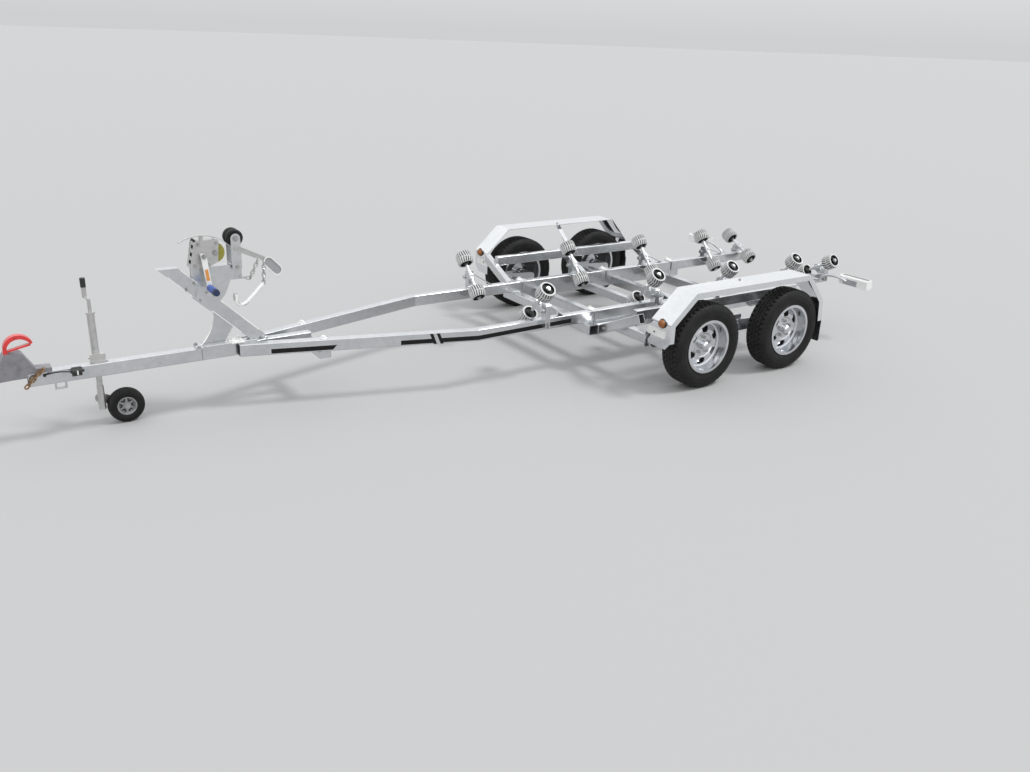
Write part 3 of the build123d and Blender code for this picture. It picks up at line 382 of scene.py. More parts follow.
def road_pattern(r, y, i):
    turn = i / TYRE_STEPS
    if r is None:
        cut = groove(turn, y)
        # grooves take the near-black of painted shade
        return TYRE_R - TREAD_DROP * (abs(y) / TREAD_HALF) ** 2 - cut, TYRE_GROOVE_SHADE if cut else TYRE_TOP
    notched = r > NOTCH_FROM_R and (turn * PITCHES + SHOULDER_PHASE) % 1.0 < NOTCH_SHARE
    return r - NOTCH_DEEP if notched else r, TYRE


def tyre(pile, centre, side_line, tread, steps, pattern):
    # rings from bead to bead, those of the tread with no radius; pattern gives each point's radius and look
    line = [(r, -y) for r, y in side_line] + [(None, y) for y in tread]
    line += [(r, y) for r, y in reversed(side_line)]
    rows, marks = [], []
    for r, y in line:
        row, mark = [], []
        for i in range(steps):
            radius, look = pattern(r, y, i)
            t = 2 * math.pi * (i / steps)
            row.append(centre + Vector((radius * math.cos(t), y, radius * math.sin(t))))
            mark.append(look)
        rows.append(row)
        marks.append(mark)
    surface(pile, rows, lambda j, i: marks[j][i])


def road_tyre(axle, name, side):
    pile = Pile(f"tread_{axle}_{name}", f"wheel_{axle}_{name}")
    centre = at(AXLES[axle], side * TRACK_HALF, TYRE_R)
    tread = [-TREAD_HALF + 2 * TREAD_HALF * i / TREAD_STEPS for i in range(1, TREAD_STEPS)]
    tyre(pile, centre, SIDE_LINE, tread, TYRE_STEPS, road_pattern)
    shape = pile.made()
    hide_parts(f"tyre_{axle}_{name}")


for axle in AXLES:
    for name, side in SIDES.items():
        road_tyre(axle, name, side)


# Rollers with chevron ribs, in the outline of the part's rollers
PIN_Y, FULL_TILT, PAIR_REACH, ROD_IN, ROD_UP = 0.515, 48.0, 0.147, 0.073, 0.027
ROLLER_R, ROLLER_HALF, ROLLER_FLAT, ROLLER_DROP, ROLLER_ROUND = 0.062, 0.044, 0.026, 0.0052, 1.4
ROLL_STEPS, ROLL_ACROSS, ROLL_RIBS = 180, 22, 20
CHEVRON_LEAN, GAP_SHARE, GAP_DEEP, MIDDLE_HALF = 9.0, 0.46, 0.0045, 0.002
# Depth and radius over a roller's recessed end, from its rim to its bore
ROLLER_END = (
    (0.0, 0.0568), (0.0, 0.0460), (0.015, 0.0455), (0.015, 0.0235), (0.0005, 0.0230), (0.0, 0.0122),
)
ROD_END_GAP, ROD_WASHER_R, ROD_WASHER_T, ROD_NUT_R, ROD_NUT_T = 0.001, 0.016, 0.002, 0.0125, 0.007
ROD_WASHER_SIDES = 24


def pair_point(pair, side, across, up):
    # point of a pair's turning plane: across and up from its pin, before the pair's own tilt
    x, z, tilt = PAIRS[pair]
    turn = math.radians(tilt - FULL_TILT)
    y = across * math.cos(turn) - up * math.sin(turn)
    return at(x, side * (PIN_Y + y), z + across * math.sin(turn) + up * math.cos(turn))


def rod_place(pair, side, along):
    tilt = math.radians(FULL_TILT)
    return pair_point(pair, side, along * math.cos(tilt) - ROD_IN, along * math.sin(tilt) + ROD_UP)


def rod_axis(pair, side):
    return (rod_place(pair, side, 1.0) - rod_place(pair, side, 0.0)).normalized()


def roller_ring(centre, axis, radii):
    v = axis.cross(X_AXIS)
    points = []
    for i, radius in enumerate(radii):
        t = 2 * math.pi * i / ROLL_STEPS
        points.append(centre + X_AXIS * radius * math.cos(t) + v * radius * math.sin(t))
    return points


def between_ribs(over, i):
    # the ribs lean both ways from a plain middle band
    share = ROLL_RIBS * i / ROLL_STEPS + CHEVRON_LEAN * abs(over)
    return share % 1.0 < GAP_SHARE and abs(over) > MIDDLE_HALF


def roller(pile, centre, axis):
    rows, gaps = [], []
    for j in range(ROLL_ACROSS + 1):
        over = -ROLLER_HALF + 2 * ROLLER_HALF * j / ROLL_ACROSS
        edge = max(abs(over) - ROLLER_FLAT, 0.0) / (ROLLER_HALF - ROLLER_FLAT)
        crown = ROLLER_R - ROLLER_DROP * edge ** ROLLER_ROUND
        gap = [between_ribs(over, i) for i in range(ROLL_STEPS)]
        radii = [crown - GAP_DEEP if cut else crown for cut in gap]
        rows.append(roller_ring(centre + axis * over, axis, radii))
        gaps.append(gap)
    # the grooves between the ribs take the dark colour of painted shade
    surface(pile, rows, lambda j, i: ROLLER_GROOVE_SHADE if gaps[j][i] and gaps[j + 1][i] else ROLLER_TOP)
    for end in (-1, 1):
        rows = []
        for deep, radius in ROLLER_END:
            face = centre + axis * (end * (ROLLER_HALF - deep))
            rows.append(roller_ring(face, axis, [radius] * ROLL_STEPS))
        surface(pile, rows[:2], ROLLER_TOP, False)
        # painted shade: the recessed end and its boss are coloured black to stand for the shade inside the
        # recess
        surface(pile, rows[1:5], DARK, False)
        surface(pile, rows[4:], DARK, False)


def roller_pair(pair, name, side):
    pile = Pile(f"ribbed_rollers_{pair}_{name}", f"rollers_{pair}_{name}")
    for along in (-PAIR_REACH, PAIR_REACH):
        roller(pile, rod_place(pair, side, along), rod_axis(pair, side))
    shape = pile.made()
    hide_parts(f"rollers_{pair}_{name}")


def rod_nuts(pair, name, side):
    # washer and nut on both ends of a pair's rod
    ends = Pile(f"rod_nuts_{pair}_{name}", f"rocker_{pair}_{name}")
    for way in (-1, 1):
        out = rod_axis(pair, side) * way
        start = rod_place(pair, side, way * (PAIR_REACH + ROLLER_HALF + ROD_END_GAP))
        seat = start + out * ROD_WASHER_T
        cylinder(ends, start, seat, ROD_WASHER_R, BOLT, ROD_WASHER_SIDES)
        nut(ends, seat, out, ROD_NUT_R, ROD_NUT_T)
    ends.made()


for pair in PAIRS:
    for name, side in SIDES.items():
        roller_pair(pair, name, side)
        rod_nuts(pair, name, side)


# Bolts, clamps and trim on the frame
trim = Pile("bolts_and_clamps", "frame")
stripes = Pile("side_stripes", "frame")
CLAMPS, CLAMP_IN, CLAMP_OUT, CLAMP_EDGE = (0.428, -0.423, -1.165), 0.064, 0.004, 0.012
CLAMP_HALF, CLAMP_T, CLAMP_NUT = 0.024, 0.008, 0.012
CLAMP_BOLT_R, CLAMP_BOLT_UNDER, CLAMP_BOLT_OVER = 0.004, 0.002, 0.020
FRAME_BOLT_R = 0.009
STAND_BOLT_LEVELS, STAND_BOLT_BACK, STAND_BOLT_OUT = (0.385, 0.408), 0.032, 0.050
ARM_BOLTS, ARM_BOLT_Y, ARM_BOLT_Z = (0.448, -0.325, -1.125), 0.620, 0.331
TIE_X, TIE_BOLT_IN, TIE_BOLT_R = 2.380, 0.031, 0.015
# Places along, outward and up of a dark clip on the outer tube, the drawbar's seam and the tie tube's cap
CLIP = (0.070, 0.090), (0.5495, 0.5515), (0.274, 0.346)
SEAM_LINE = (3.0965, 3.0995), (0.0298, 0.0306), (0.346, 0.424)
TIE_CAP = (2.341, 2.419), (0.201, 0.204), (0.298, 0.344)
# Low and high corner of the winch arm's cap and of the plate under the nuts behind the post's foot
ARM_CAP = (3.107, -0.028, 0.830), (3.110, 0.028, 0.918)
FOOT_PLATE = (2.840, -0.052, 0.4315), (2.924, 0.052, 0.4375)


def rail_clamp(x, side):
    # thin bolt down each side of the rail, bright plate and nuts on top
    inner, outer, plate_top = RAIL_OUT - CLAMP_IN, RAIL_OUT + CLAMP_OUT, DECK_TOP + CLAMP_T
    for y in (side * inner, side * outer):
        low, high = at(x, y, DECK_BOTTOM - CLAMP_BOLT_UNDER), at(x, y, DECK_TOP + CLAMP_BOLT_OVER)
        cylinder(trim, low, high, CLAMP_BOLT_R, BOLT, BOLT_SIDES)
        nut(trim, at(x, y, plate_top), Z_AXIS, CLAMP_NUT, CLAMP_NUT, BRIGHT)
    along, out = (x - CLAMP_HALF, x + CLAMP_HALF), (inner - CLAMP_EDGE, outer + CLAMP_EDGE)
    side_block(trim, side, along, out, (DECK_TOP, plate_top), BRIGHT)


for side in SIDES.values():
    for x in CLAMPS:
        rail_clamp(x, side)
    for x, _, _ in PAIRS.values():
        for level in STAND_BOLT_LEVELS:
            spot = at(x - STAND_BOLT_BACK, side * (RAIL_OUT + STAND_BOLT_OUT), level)
            washer_bolt(trim, spot, (0, side, 0), FRAME_BOLT_R)
    for x in ARM_BOLTS:
        washer_bolt(trim, at(x, side * ARM_BOLT_Y, ARM_BOLT_Z), X_AXIS, FRAME_BOLT_R)
    side_block(trim, side, *CLIP, BLACK)
    tie_y = RAIL_OUT - TIE_BOLT_IN - RAIL_SLOPE * (TIE_X - KINK_X)
    washer_bolt(trim, at(TIE_X, side * tie_y, DECK_TOP), Z_AXIS, TIE_BOLT_R, BRIGHT)
    side_block(trim, side, *SEAM_LINE, SEAM)
for side in SIDES.values():
    side_block(trim, side, *TIE_CAP, GALV)
for (low, high), look in ((ARM_CAP, GALV), (FOOT_PLATE, BRIGHT)):
    block(trim, at(*low), at(*high), look)

# Welds: places along, place outward, and the two heights of each upright bead
WELD_R, WELD_SIDES, WELD_STEP, WELD_LEAST_STEPS, RIPPLE, RIPPLE_RATE = 0.004, 8, 0.003, 4, 0.16, 1.9
OUTER_WELDS, OUTER_WELD_Y, OUTER_WELD_Z = (0.398, -0.375, -0.325, -1.175, -1.125), 0.552, (0.278, 0.330)
CROSS_WELDS = (0.235, 0.295, -0.591, -0.531, -0.270, -0.210, -1.060, -1.000)
CROSS_WELD_Y, CROSS_WELD_Z = 0.468, (0.280, 0.340)
# Level beads on the tie tube, and along both sides of the winch post's foot
TIE_WELDS, TIE_WELD_Y, TIE_WELD_Z = (2.342, 2.418), (0.140, 0.200), 0.343
FOOT_WELDS, FOOT_WELD_Y, FOOT_WELD_Z = (2.76, 3.08), (-0.03875, 0.03875), 0.434


def weld(a, b):
    # rippled bead from a to b
    a, b = Vector(a), Vector(b)
    u, v, along = axes(b - a)
    length, rows = (b - a).length, []
    steps = max(WELD_LEAST_STEPS, int(length / WELD_STEP))
    for j in range(steps + 1):
        r = WELD_R * (1.0 + RIPPLE * math.sin(j * RIPPLE_RATE))
        rows.append(circle(a + along * length * j / steps, u, v, r, WELD_SIDES))
    surface(trim, rows, WELD)


for side in SIDES.values():
    for places, y, (low, high) in (
        (OUTER_WELDS, OUTER_WELD_Y, OUTER_WELD_Z), (CROSS_WELDS, CROSS_WELD_Y, CROSS_WELD_Z),
    ):
        for x in places:
            weld(at(x, side * y, low), at(x, side * y, high))
for x in TIE_WELDS:
    for side in SIDES.values():
        weld(at(x, side * TIE_WELD_Y[0], TIE_WELD_Z), at(x, side * TIE_WELD_Y[1], TIE_WELD_Z))
for y in FOOT_WELD_Y:
    weld(at(FOOT_WELDS[0], y, FOOT_WELD_Z), at(FOOT_WELDS[1], y, FOOT_WELD_Z))

# Stripes along the near rail, whose outer face turns in at the fold, just ahead of its middle line's kink
FOLD_X = KINK_X + 0.0042
STRIPE_LOW, STRIPE_HIGH, STRIPE_OVER = 0.3550, 0.3845, 0.0006
# Short stripe ahead with a leaning rear end, then the long one, which rises a little towards its rear end
SHORT_FRONT, SHORT_REAR, SHORT_LEAN = 2.702, 2.311, 0.025
LONG_FRONT, LONG_REAR, LONG_RISE = 1.915, 0.643, 0.012
# Two slashes lean across the side; the stripe stops at the front one and goes on behind the rear one
SLASH_LOW, SLASH_HIGH, SLASH_LEAN, SLASH_WIDE = 0.347, 0.418, 0.35, 0.021
SLASH_FRONT, SLASH_REAR = 1.706, 1.662


def rail_y(x):
    return RAIL_OUT - RAIL_SLOPE * max(x - FOLD_X, 0.0)


def stripe(points):
    corners = [at(x, rail_y(x) + STRIPE_OVER, z) for x, z in points]
    stripes.add(corners, [tuple(range(len(corners)))], PAINT, False)


def band(front, rear, low=STRIPE_LOW, high=STRIPE_HIGH):
    # stripe between a front and a rear edge, each with its place at the low and at the high side
    stripe([(front[0], low), (front[1], high), (rear[1], high), (rear[0], low)])


def slash_edge(front, low, high):
    return [front + SLASH_LEAN * (z - SLASH_LOW) for z in (low, high)]


band((SHORT_FRONT, SHORT_FRONT), (SHORT_REAR + SHORT_LEAN, SHORT_REAR))
for front in (SLASH_FRONT, SLASH_REAR):
    edges = [slash_edge(x, SLASH_LOW, SLASH_HIGH) for x in (front, front - SLASH_WIDE)]
    band(*edges, SLASH_LOW, SLASH_HIGH)
band((LONG_FRONT, LONG_FRONT), slash_edge(SLASH_FRONT, STRIPE_LOW, STRIPE_HIGH))
band(slash_edge(SLASH_REAR - SLASH_WIDE, STRIPE_LOW, STRIPE_HIGH), (FOLD_X, FOLD_X))
stripe([(FOLD_X, STRIPE_LOW), (FOLD_X, STRIPE_HIGH), (LONG_REAR, STRIPE_HIGH + LONG_RISE),
        (LONG_REAR, STRIPE_LOW + LONG_RISE)])

# Guards: bolt of each stay, pale bolt of the rear panel and three bolts through each mudflap
STAY_BOLT, STAY_BOLT_R = (-0.370, 1.093, 0.705), 0.0075
PANEL_BOLT, PANEL_BOLT_R = (-1.151, 1.080, 0.420), 0.008
FLAP_BOLT_X, FLAP_BOLTS_Y, FLAP_BOLT_Z, FLAP_BOLT_R = -1.170, (1.080, 1.140, 1.200), 0.325, 0.007
REARWARD = -X_AXIS
for side in SIDES.values():
    washer_bolt(trim, mirrored(STAY_BOLT, side), Z_AXIS, STAY_BOLT_R)
    washer_bolt(trim, mirrored(PANEL_BOLT, side), REARWARD, PANEL_BOLT_R, WHITE)
    for y in FLAP_BOLTS_Y:
        washer_bolt(trim, at(FLAP_BOLT_X, side * y, FLAP_BOLT_Z), REARWARD, FLAP_BOLT_R)

# Front lamps: amber dome in a dark ring above a white marker with rounded corners and a dark spot
lamps = Pile("front_lamps", "frame")
LAMP_FACE, LAMP_Y, LAMP_Z, LAMP_RING_R, LAMP_RING_T, DOME_STEPS = 0.385, 1.154, 0.507, 0.0335, 0.006, 40
# Radius of the dome and its height over the lamp's face
DOME = (
    (0.0290, 0.006), (0.0285, 0.015), (0.0245, 0.0225), (0.0165, 0.0275), (0.0080, 0.0295), (0.0005, 0.0300),
)
MARKER_IN, MARKER_OUT, MARKER_LOW, MARKER_HIGH = 1.030, 1.182, 0.419, 0.449
MARKER_T, MARKER_ROUND, MARKER_STEPS = 0.010, 0.010, 6
SPOT_Y, SPOT_Z, SPOT_R, SPOT_FACES = 1.087, 0.434, 0.0078, (0.3945, 0.3953)


def marker_plate(side):
    corners = []
    for y, z, first in (
        (MARKER_OUT, MARKER_HIGH, 0), (MARKER_IN, MARKER_HIGH, 90),
        (MARKER_IN, MARKER_LOW, 180), (MARKER_OUT, MARKER_LOW, 270),
    ):
        for step in range(MARKER_STEPS):
            t = math.radians(first + 90 * step / (MARKER_STEPS - 1))
            corners.append((side * (y + MARKER_ROUND * math.cos(t)), z + MARKER_ROUND * math.sin(t)))
    count = len(corners)
    points = [at(x, y, z) for x in (LAMP_FACE, LAMP_FACE + MARKER_T) for y, z in corners]
    faces = [(i, (i + 1) % count, count + (i + 1) % count, count + i) for i in range(count)]
    lamps.add(points, faces + [tuple(range(count)), tuple(range(count, 2 * count))], WHITE, False)


for side in SIDES.values():
    spot = at(LAMP_FACE, side * LAMP_Y, LAMP_Z)
    cylinder(lamps, spot, spot + X_AXIS * LAMP_RING_T, LAMP_RING_R, BLACK, DOME_STEPS)
    rows = [circle(spot + X_AXIS * over, Y_AXIS, Z_AXIS, radius, DOME_STEPS) for radius, over in DOME]
    surface(lamps, rows, AMBER)
    marker_plate(side)
    cylinder(lamps, *(at(x, side * SPOT_Y, SPOT_Z) for x in SPOT_FACES), SPOT_R, BLACK, WASHER_SIDES)
shape = lamps.made()
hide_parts("amber_lamps")

# Tail lamps: dark top panel, red and amber lenses, each given by its places along, outward and up
TAIL_PANEL = (-1.9965, -1.9555), (0.771, 1.023), (0.4910, 0.4963)
LENS_X, LENS_Z = (-2.0252, -2.0242), (0.436, 0.480)
LENSES = (((0.770, 0.842), LENS_RED), ((0.842, 0.932), AMBER), ((0.932, 1.024), LENS_RED))
for side in SIDES.values():
    side_block(trim, side, *TAIL_PANEL, LAMP_PANEL)
    for lens_y, look in LENSES:
        side_block(trim, side, LENS_X, lens_y, LENS_Z, look)

# Wheel nuts on their studs, valves, and a dark ring of painted shade behind the disc's windows, standing for
# the wheel's dark inside
STUDS, STUD_CIRCLE, STUD_FACE, STUD_BAR_R, STUD_BAR = 5, 0.057, 0.019, 0.006, 0.024
WHEEL_NUT_R, WHEEL_NUT_T = 0.0115, 0.018
VALVE_TURN, VALVE_CIRCLE, VALVE_FACE, VALVE_R, VALVE_LONG = 30, 0.158, 0.010, 0.0045, 0.036
SHADE_RING, SHADE_FACE = (0.078, 0.157), -0.016


def wheel_point(axle, side, radius, degrees, over):
    # point of a wheel at a radius and turn, and at a place outward from its middle plane
    t = math.radians(degrees)
    return at(AXLES[axle] + radius * math.cos(t), side * (TRACK_HALF + over), TYRE_R + radius * math.sin(t))


for axle in AXLES:
    for name, side in SIDES.items():
        wheel = Pile(f"wheel_nuts_{axle}_{name}", f"wheel_{axle}_{name}")
        for i in range(STUDS):
            spot = wheel_point(axle, side, STUD_CIRCLE, 90 + i * 360 / STUDS, STUD_FACE)
            nut(wheel, spot, (0, side, 0), WHEEL_NUT_R, WHEEL_NUT_T)
            cylinder(wheel, spot, spot + Vector((0, side * STUD_BAR, 0)), STUD_BAR_R, ZINC, BOLT_SIDES)
        spot = wheel_point(axle, side, VALVE_CIRCLE, VALVE_TURN, VALVE_FACE)
        cylinder(wheel, spot, spot + Vector((0, side * VALVE_LONG, 0)), VALVE_R, BLACK, BOLT_SIDES)
        # painted shade: a dark ring behind the disc's windows, where the wheel's inside lies in shade
        centre = at(AXLES[axle], side * (TRACK_HALF + SHADE_FACE), TYRE_R)
        rings = [circle(centre, X_AXIS, Z_AXIS, radius, LARGE_SIDES) for radius in SHADE_RING]
        surface(wheel, rings, SHADE, False)
        wheel.made()

# Winch post: painted highlights along its corners and the edges of its gusset, and bolts
POST_X, POST_Z, POST_LEAN = 3.250, 0.930, math.radians(44)
POST_HALF, HIGHLIGHT_Y, HIGHLIGHT_R = 0.0385, 0.0285, 0.0027
# Ends of the painted highlights down the post's corners, by side of the post
POST_EDGE_HIGHLIGHTS = ((-POST_HALF, 0.030, 0.590), (POST_HALF, 0.060, 0.670))
GUSSET_R, GUSSET_STEPS, GUSSET_FRONT_HIGHLIGHT = 0.0045, 14, ((3.0915, 0.435), (3.0335, 0.510), (3.0045, 0.640))
GUSSET_REAR_HIGHLIGHT = (2.8925, 0, 0.528), (2.9470, 0, 0.435)
# Bolts of the winch's cheeks by place along and up, of the bow roller's bracket by place and size
CHEEK_BOLTS = ((2.968, 1.062), (3.072, 1.062), (3.100, 0.940), (3.022, 0.940))
CHEEK_BOLT_Y, CHEEK_BOLT_R = 0.050, 0.007
BRACKET_BOLTS = (((2.852, 0.052, 1.080), 0.012), ((2.852, 0.052, 0.908), 0.009))
# Bolts of the post by place down it and over its middle line, and of its foot by place along, size and look
POST_BOLTS = ((0.262, -0.030), (0.160, -0.030), (0.262, 0.028), (0.170, 0.028))
POST_BOLT_Y, POST_BOLT_R, FOOT_Y, FOOT_Z = 0.035, 0.0055, 0.036, 0.433
FOOT_BOLTS = ((2.730, 0.009, BOLT), (3.116, 0.009, BOLT), (2.856, 0.0135, BRIGHT), (2.908, 0.0135, BRIGHT))


def post_point(along, over, y):
    # place beside the winch post: down it and over its middle line, from the middle of its top
    x = POST_X - along * math.cos(POST_LEAN) - over * math.sin(POST_LEAN)
    return at(x, y, POST_Z - along * math.sin(POST_LEAN) + over * math.cos(POST_LEAN))


def arc_line(a, b, c, steps):
    # points of the circle arc from a through b to c in the trailer's middle plane
    (ax, az), (bx, bz), (cx, cz) = a, b, c
    d = 2 * (ax * (bz - cz) + bx * (cz - az) + cx * (az - bz))
    sa, sb, sc = ax * ax + az * az, bx * bx + bz * bz, cx * cx + cz * cz
    x = (sa * (bz - cz) + sb * (cz - az) + sc * (az - bz)) / d
    z = (sa * (cx - bx) + sb * (ax - cx) + sc * (bx - ax)) / d
    radius = math.hypot(ax - x, az - z)
    start, middle, stop = (math.atan2(pz - z, px - x) for px, pz in (a, b, c))
    turn = (stop - start) % (2 * math.pi)
    if (middle - start) % (2 * math.pi) > turn:
        turn -= 2 * math.pi
    turns = [start + turn * i / steps for i in range(steps + 1)]
    return [at(x + radius * math.cos(t), 0, z + radius * math.sin(t)) for t in turns]


# painted highlights: bright rods along the post's corners and the gusset's edges stand for the light they
# catch
for side in SIDES.values():
    for over, first, last in POST_EDGE_HIGHLIGHTS:
        ends = [post_point(along, over, side * HIGHLIGHT_Y) for along in (first, last)]
        cylinder(trim, *ends, HIGHLIGHT_R, BRIGHT, ROD_SIDES)
tube(trim, arc_line(*GUSSET_FRONT_HIGHLIGHT, GUSSET_STEPS), GUSSET_R, BRIGHT, ROD_SIDES)
cylinder(trim, at(*GUSSET_REAR_HIGHLIGHT[0]), at(*GUSSET_REAR_HIGHLIGHT[1]), GUSSET_R, BRIGHT, ROD_SIDES)
for x, z in CHEEK_BOLTS:
    for side in SIDES.values():
        washer_bolt(trim, at(x, side * CHEEK_BOLT_Y, z), (0, side, 0), CHEEK_BOLT_R)
for side in SIDES.values():
    for point, radius in BRACKET_BOLTS:
        washer_bolt(trim, mirrored(point, side), (0, side, 0), radius)
    for along, over in POST_BOLTS:
        washer_bolt(trim, post_point(along, over, side * POST_BOLT_Y), (0, side, 0), POST_BOLT_R)
    for x, radius, look in FOOT_BOLTS:
        washer_bolt(trim, at(x, side * FOOT_Y, FOOT_Z), Z_AXIS, radius, look)

# Winch drum: turns of the strap and the bolts of its shaft
WINCH_X, WINCH_Z = 2.976, 1.004
STRAP_TURNS, STRAP_TURN_HALF, STRAP_TURN_R = (-0.030, -0.018, -0.006, 0.006, 0.018, 0.030), 0.0025, 0.0603
SHAFT_BOLT_Y, SHAFT_BOLT_R = 0.0565, 0.010
drum = Pile("strap_turns", "winch_drum")
for y in STRAP_TURNS:
    ends = [at(WINCH_X, y + over, WINCH_Z) for over in (-STRAP_TURN_HALF, STRAP_TURN_HALF)]
    cylinder(drum, *ends, STRAP_TURN_R, STRAP, LARGE_SIDES)
for side in SIDES.values():
    washer_bolt(drum, at(WINCH_X, side * SHAFT_BOLT_Y, WINCH_Z), (0, side, 0), SHAFT_BOLT_R)
drum.made()

# Winch crank: blue grip with a dark end, plain label on the arm's outer face, and a nut
CRANK_X, CRANK_Z, CRANK_END_X, CRANK_END_Z, CRANK_FACE = 3.056, 0.999, 3.035, 0.809, 0.0925
# From and to outward, radius at both ends
GRIP = ((0.094, 0.200, 0.0208, 0.0200, BLUE), (0.200, 0.2235, 0.0222, 0.0190, NAVY))
# Start and length as shares of the arm, half width, and place over the arm's face
LABEL = ((0.36, 0.46, 0.0125, 0.0, WHITE), (0.41, 0.36, 0.0095, 0.0004, ORANGE))
CRANK_NUT_Y, CRANK_NUT_R = 0.096, 0.010
crank = Pile("crank_grip", "winch_handle")
top, end = at(CRANK_X, CRANK_FACE, CRANK_Z), at(CRANK_END_X, CRANK_FACE, CRANK_END_Z)
for y0, y1, radius, end_radius, look in GRIP:
    cylinder(crank, (end.x, y0, end.z), (end.x, y1, end.z), radius, look, GRIP_SIDES, end_radius)
wide = (end - top).normalized().cross(Y_AXIS)
for share, span, half, over, look in LABEL:
    a, b = top.lerp(end, share), top.lerp(end, share + span)
    corners = [a - wide * half, b - wide * half, b + wide * half, a + wide * half]
    crank.add([p + Y_AXIS * over for p in corners], [(0, 1, 2, 3)], look, False)
washer_bolt(crank, at(CRANK_X, CRANK_NUT_Y, CRANK_Z), Y_AXIS, CRANK_NUT_R)
crank.made()

# Winch hook: bright shank and bend, and its shackle with a bright rim round a grey hollow
HOOK_Y, SHANK_R, SHANK_END_R, BEND_BAR_R, BEND_R = 0.055, 0.0135, 0.0125, 0.0108, 0.0345
SHANK_TOP, SHANK_END = at(2.702, HOOK_Y, 0.790), at(2.806, HOOK_Y, 0.6895)
HOOK_TIP = at(2.8780, HOOK_Y, 0.7440)
BEND_X, BEND_Z, BEND_FIRST, BEND_STEP, BEND_STEPS = 2.8435, 0.7075, -128, 14.4, 11
SHACKLE_LOW, SHACKLE_HIGH = Vector((2.612 + SHIFT, 0.868)), Vector((2.662 + SHIFT, 0.922))
HOLLOW_R, HOLLOW_OVER, RIM_R, RIM_IN_R, RIM_OVER, HALF_STEPS = 0.0245, 0.0056, 0.0335, 0.0262, 0.0094, 12


def shackle_line(radius, over):
    # outline of two half circles and the straight sides between them
    lean = math.atan2(SHACKLE_HIGH.y - SHACKLE_LOW.y, SHACKLE_HIGH.x - SHACKLE_LOW.x)
    line = []
    for middle, first in ((SHACKLE_HIGH, -90), (SHACKLE_LOW, 90)):
        for step in range(HALF_STEPS + 1):
            t = lean + math.radians(first + 180 * step / HALF_STEPS)
            line.append((middle.x + radius * math.cos(t), HOOK_Y + over, middle.y + radius * math.sin(t)))
    return line


cylinder(trim, SHANK_TOP, SHANK_END, SHANK_R, BRIGHT, WASHER_SIDES, SHANK_END_R)
bend = [SHANK_END]
for step in range(BEND_STEPS):
    t = math.radians(BEND_FIRST + BEND_STEP * step)
    bend.append(at(BEND_X + BEND_R * math.cos(t), HOOK_Y, BEND_Z + BEND_R * math.sin(t)))
tube(trim, bend + [HOOK_TIP], BEND_BAR_R, BRIGHT, BAR_SIDES)
hollow = shackle_line(HOLLOW_R, HOLLOW_OVER)
trim.add(hollow, [tuple(range(len(hollow)))], GREY, False)
surface(trim, [shackle_line(RIM_R, RIM_OVER), shackle_line(RIM_IN_R, RIM_OVER)], BRIGHT, False)

# Jockey stand: black grip on its crank, and the pale tag on the plug beside it
GRIP_X, GRIP_Y, GRIP_LOW, GRIP_HIGH, GRIP_R = 3.684, -0.139, 0.836, 0.8895, 0.0150
TAG = (3.800, 0.0812, 0.394), (3.807, 0.0830, 0.420)
cylinder(trim, at(GRIP_X, GRIP_Y, GRIP_LOW), at(GRIP_X, GRIP_Y, GRIP_HIGH), GRIP_R, BLACK, WASHER_SIDES)
block(trim, at(*TAG[0]), at(*TAG[1]), WHITE)

# Jockey wheel: bolts of its hub, lugged tyre, and dark faces of painted shade in the hollows between the
# rim's spokes
JW_X, JW_Y, JW_R = 3.543, -0.085, 0.105
HUB_BOLTS, HUB_BOLT_R = ((0.0362, 1), (-0.0562, -1)), 0.009
# The tread is level to the first place from its middle, then slopes a little, then falls at 45 degrees
JW_FLAT, JW_SHOULDER, JW_SLOPE = 0.014, 0.026, 0.25
JW_DROP = JW_SLOPE * (JW_SHOULDER - JW_FLAT)
JW_SIDE = [(0.056, 0.0300), (0.064, 0.0350), (0.078, 0.0380), (0.093, 0.0350)]
JW_TREAD_HALF, JW_ACROSS, JW_STEPS, JW_LUG_STEPS = 0.0330, 26, 160, 4
JW_LUG_LEAN, JW_GAP_SHARE, JW_GAP_DEEP, JW_GROOVE_Y, JW_GROOVE_HALF = 60, 0.36, 0.0030, 0.010, 0.0014
# Radius and turn from the middle of each hollow's corners
HOLLOWS, HOLLOW = 6, ((0.0245, 15), (0.0440, 22), (0.0440, 0), (0.0440, -22), (0.0245, -15))
HOLLOW_FACE, HOLLOW_HUB_R, HOLLOW_SLOPE = 0.0162, 0.020, 0.077
fork = Pile("jockey_wheel_nuts", "jockey_fork")
for over, way in HUB_BOLTS:
    washer_bolt(fork, at(JW_X, JW_Y + over, JW_R), (0, way, 0), HUB_BOLT_R)
fork.made()


def jockey_crown(y):
    across = abs(y)
    if across <= JW_FLAT:
        return JW_R
    if across <= JW_SHOULDER:
        return JW_R - JW_SLOPE * (across - JW_FLAT)
    return JW_R - JW_DROP - (across - JW_SHOULDER)


def jockey_gap(y, i):
    # between two lugs, which lean both ways from the middle, or in one of two round grooves
    lug = (i / JW_LUG_STEPS + JW_LUG_LEAN * abs(y)) % 1.0
    return lug < JW_GAP_SHARE or abs(abs(y) - JW_GROOVE_Y) < JW_GROOVE_HALF


def jockey_pattern(r, y, i):
    if r is not None:
        return r, TYRE
    # gaps between lugs take the near-black of painted shade
    if jockey_gap(y, i):
        return jockey_crown(y) - JW_GAP_DEEP, TYRE_GROOVE_SHADE
    return jockey_crown(y), TYRE_TOP


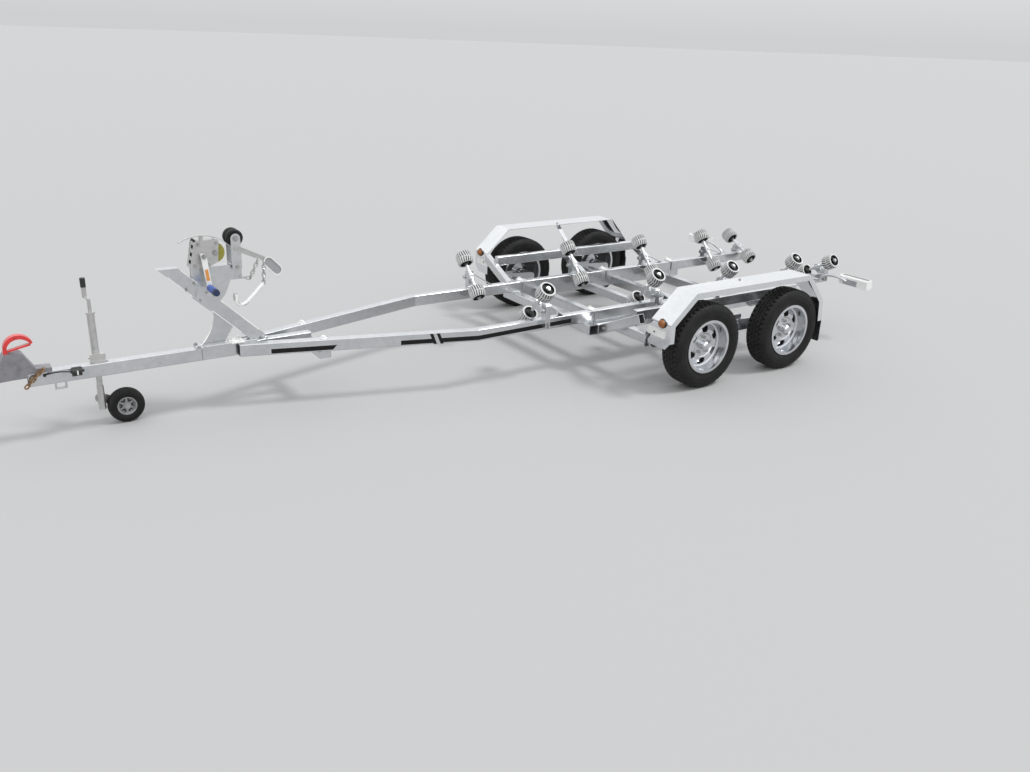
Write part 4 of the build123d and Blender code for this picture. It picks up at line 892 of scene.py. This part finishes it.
pile = Pile("jockey_tread", "jockey_wheel")
tread = [-JW_TREAD_HALF + 2 * JW_TREAD_HALF * i / JW_ACROSS for i in range(JW_ACROSS + 1)]
tyre(pile, at(JW_X, JW_Y, JW_R), JW_SIDE, tread, JW_STEPS, jockey_pattern)
shape = pile.made()
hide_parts("jockey_tyre")
# painted shade: black faces sunk in the hollows between the rim's spokes stand for the shade in them
spokes = Pile("jockey_rim_hollow_shade", "jockey_wheel")
for side in SIDES.values():
    for i in range(HOLLOWS):
        corners = []
        for radius, spread in HOLLOW:
            t = math.radians(i * 360 / HOLLOWS + spread)
            deep = HOLLOW_FACE - (radius - HOLLOW_HUB_R) * HOLLOW_SLOPE
            corners.append(at(JW_X + radius * math.cos(t), JW_Y + side * deep, JW_R + radius * math.sin(t)))
        spokes.add(corners, [tuple(range(len(corners)))], BLACK, False)
spokes.made()

trim.made()
stripes.made()

# Floor, light and camera
FLOOR_SIZE, SKY_STRENGTH, SKY_LEVELS = 400, 1.15, (0.0, 0.30)
SKY_LOW, SKY_HIGH = (0.54, 0.545, 0.55), (0.97, 0.985, 1.0)
floor_look = material("pale floor", (0.37, 0.37, 0.37), 0.9)
bpy.ops.mesh.primitive_plane_add(size=FLOOR_SIZE, location=(0, 0, 0))
floor = bpy.context.object
floor.name = "floor"
floor.data.materials.append(floor_look)

world = bpy.data.worlds.new("studio")
bpy.context.scene.world = world
world.use_nodes = True
nodes, links = world.node_tree.nodes, world.node_tree.links
background = nodes["Background"]
background.inputs["Strength"].default_value = SKY_STRENGTH
heading = nodes.new("ShaderNodeTexCoord")
height = nodes.new("ShaderNodeSeparateXYZ")
links.new(heading.outputs["Generated"], height.inputs["Vector"])
links.new(ramp(world, height.outputs["Z"], SKY_LOW, SKY_HIGH, *SKY_LEVELS), background.inputs["Color"])


def sun(name, aim, angle, power):
    data = bpy.data.lights.new(name, "SUN")
    data.angle, data.energy = math.radians(angle), power
    lamp = bpy.data.objects.new(name, data)
    lamp.rotation_euler = Vector(aim).to_track_quat("-Z", "Y").to_euler()
    bpy.context.collection.objects.link(lamp)


# Aim, angle across in degrees, and strength
sun("key", (0.55, -0.35, -1.0), 14.0, 1.8)
sun("fill", (-0.6, -0.8, -0.7), 60.0, 0.4)

CAMERA_PLACE, YAW, PITCH, ROLL = (3.423, 5.444, 2.284), 0.6008, 0.3681, 0.0375
camera_data = bpy.data.cameras.new("camera")
camera_data.sensor_fit, camera_data.sensor_width = "HORIZONTAL", 36.0
camera_data.lens = 32.13
camera_data.clip_end = 200.0
camera = bpy.data.objects.new("camera", camera_data)
bpy.context.collection.objects.link(camera)
level = Vector((-math.sin(YAW), -math.cos(YAW), 0))
right = Vector((-math.cos(YAW), math.sin(YAW), 0))
look = level * math.cos(PITCH) - Z_AXIS * math.sin(PITCH)
up = level * math.sin(PITCH) + Z_AXIS * math.cos(PITCH)
right, up = right * math.cos(ROLL) + up * math.sin(ROLL), up * math.cos(ROLL) - right * math.sin(ROLL)
turn = Matrix((right, up, -look)).transposed().to_4x4()
camera.matrix_world = Matrix.Translation(CAMERA_PLACE) @ turn
bpy.context.scene.camera = camera
bpy.context.scene.view_settings.view_transform = "Standard"
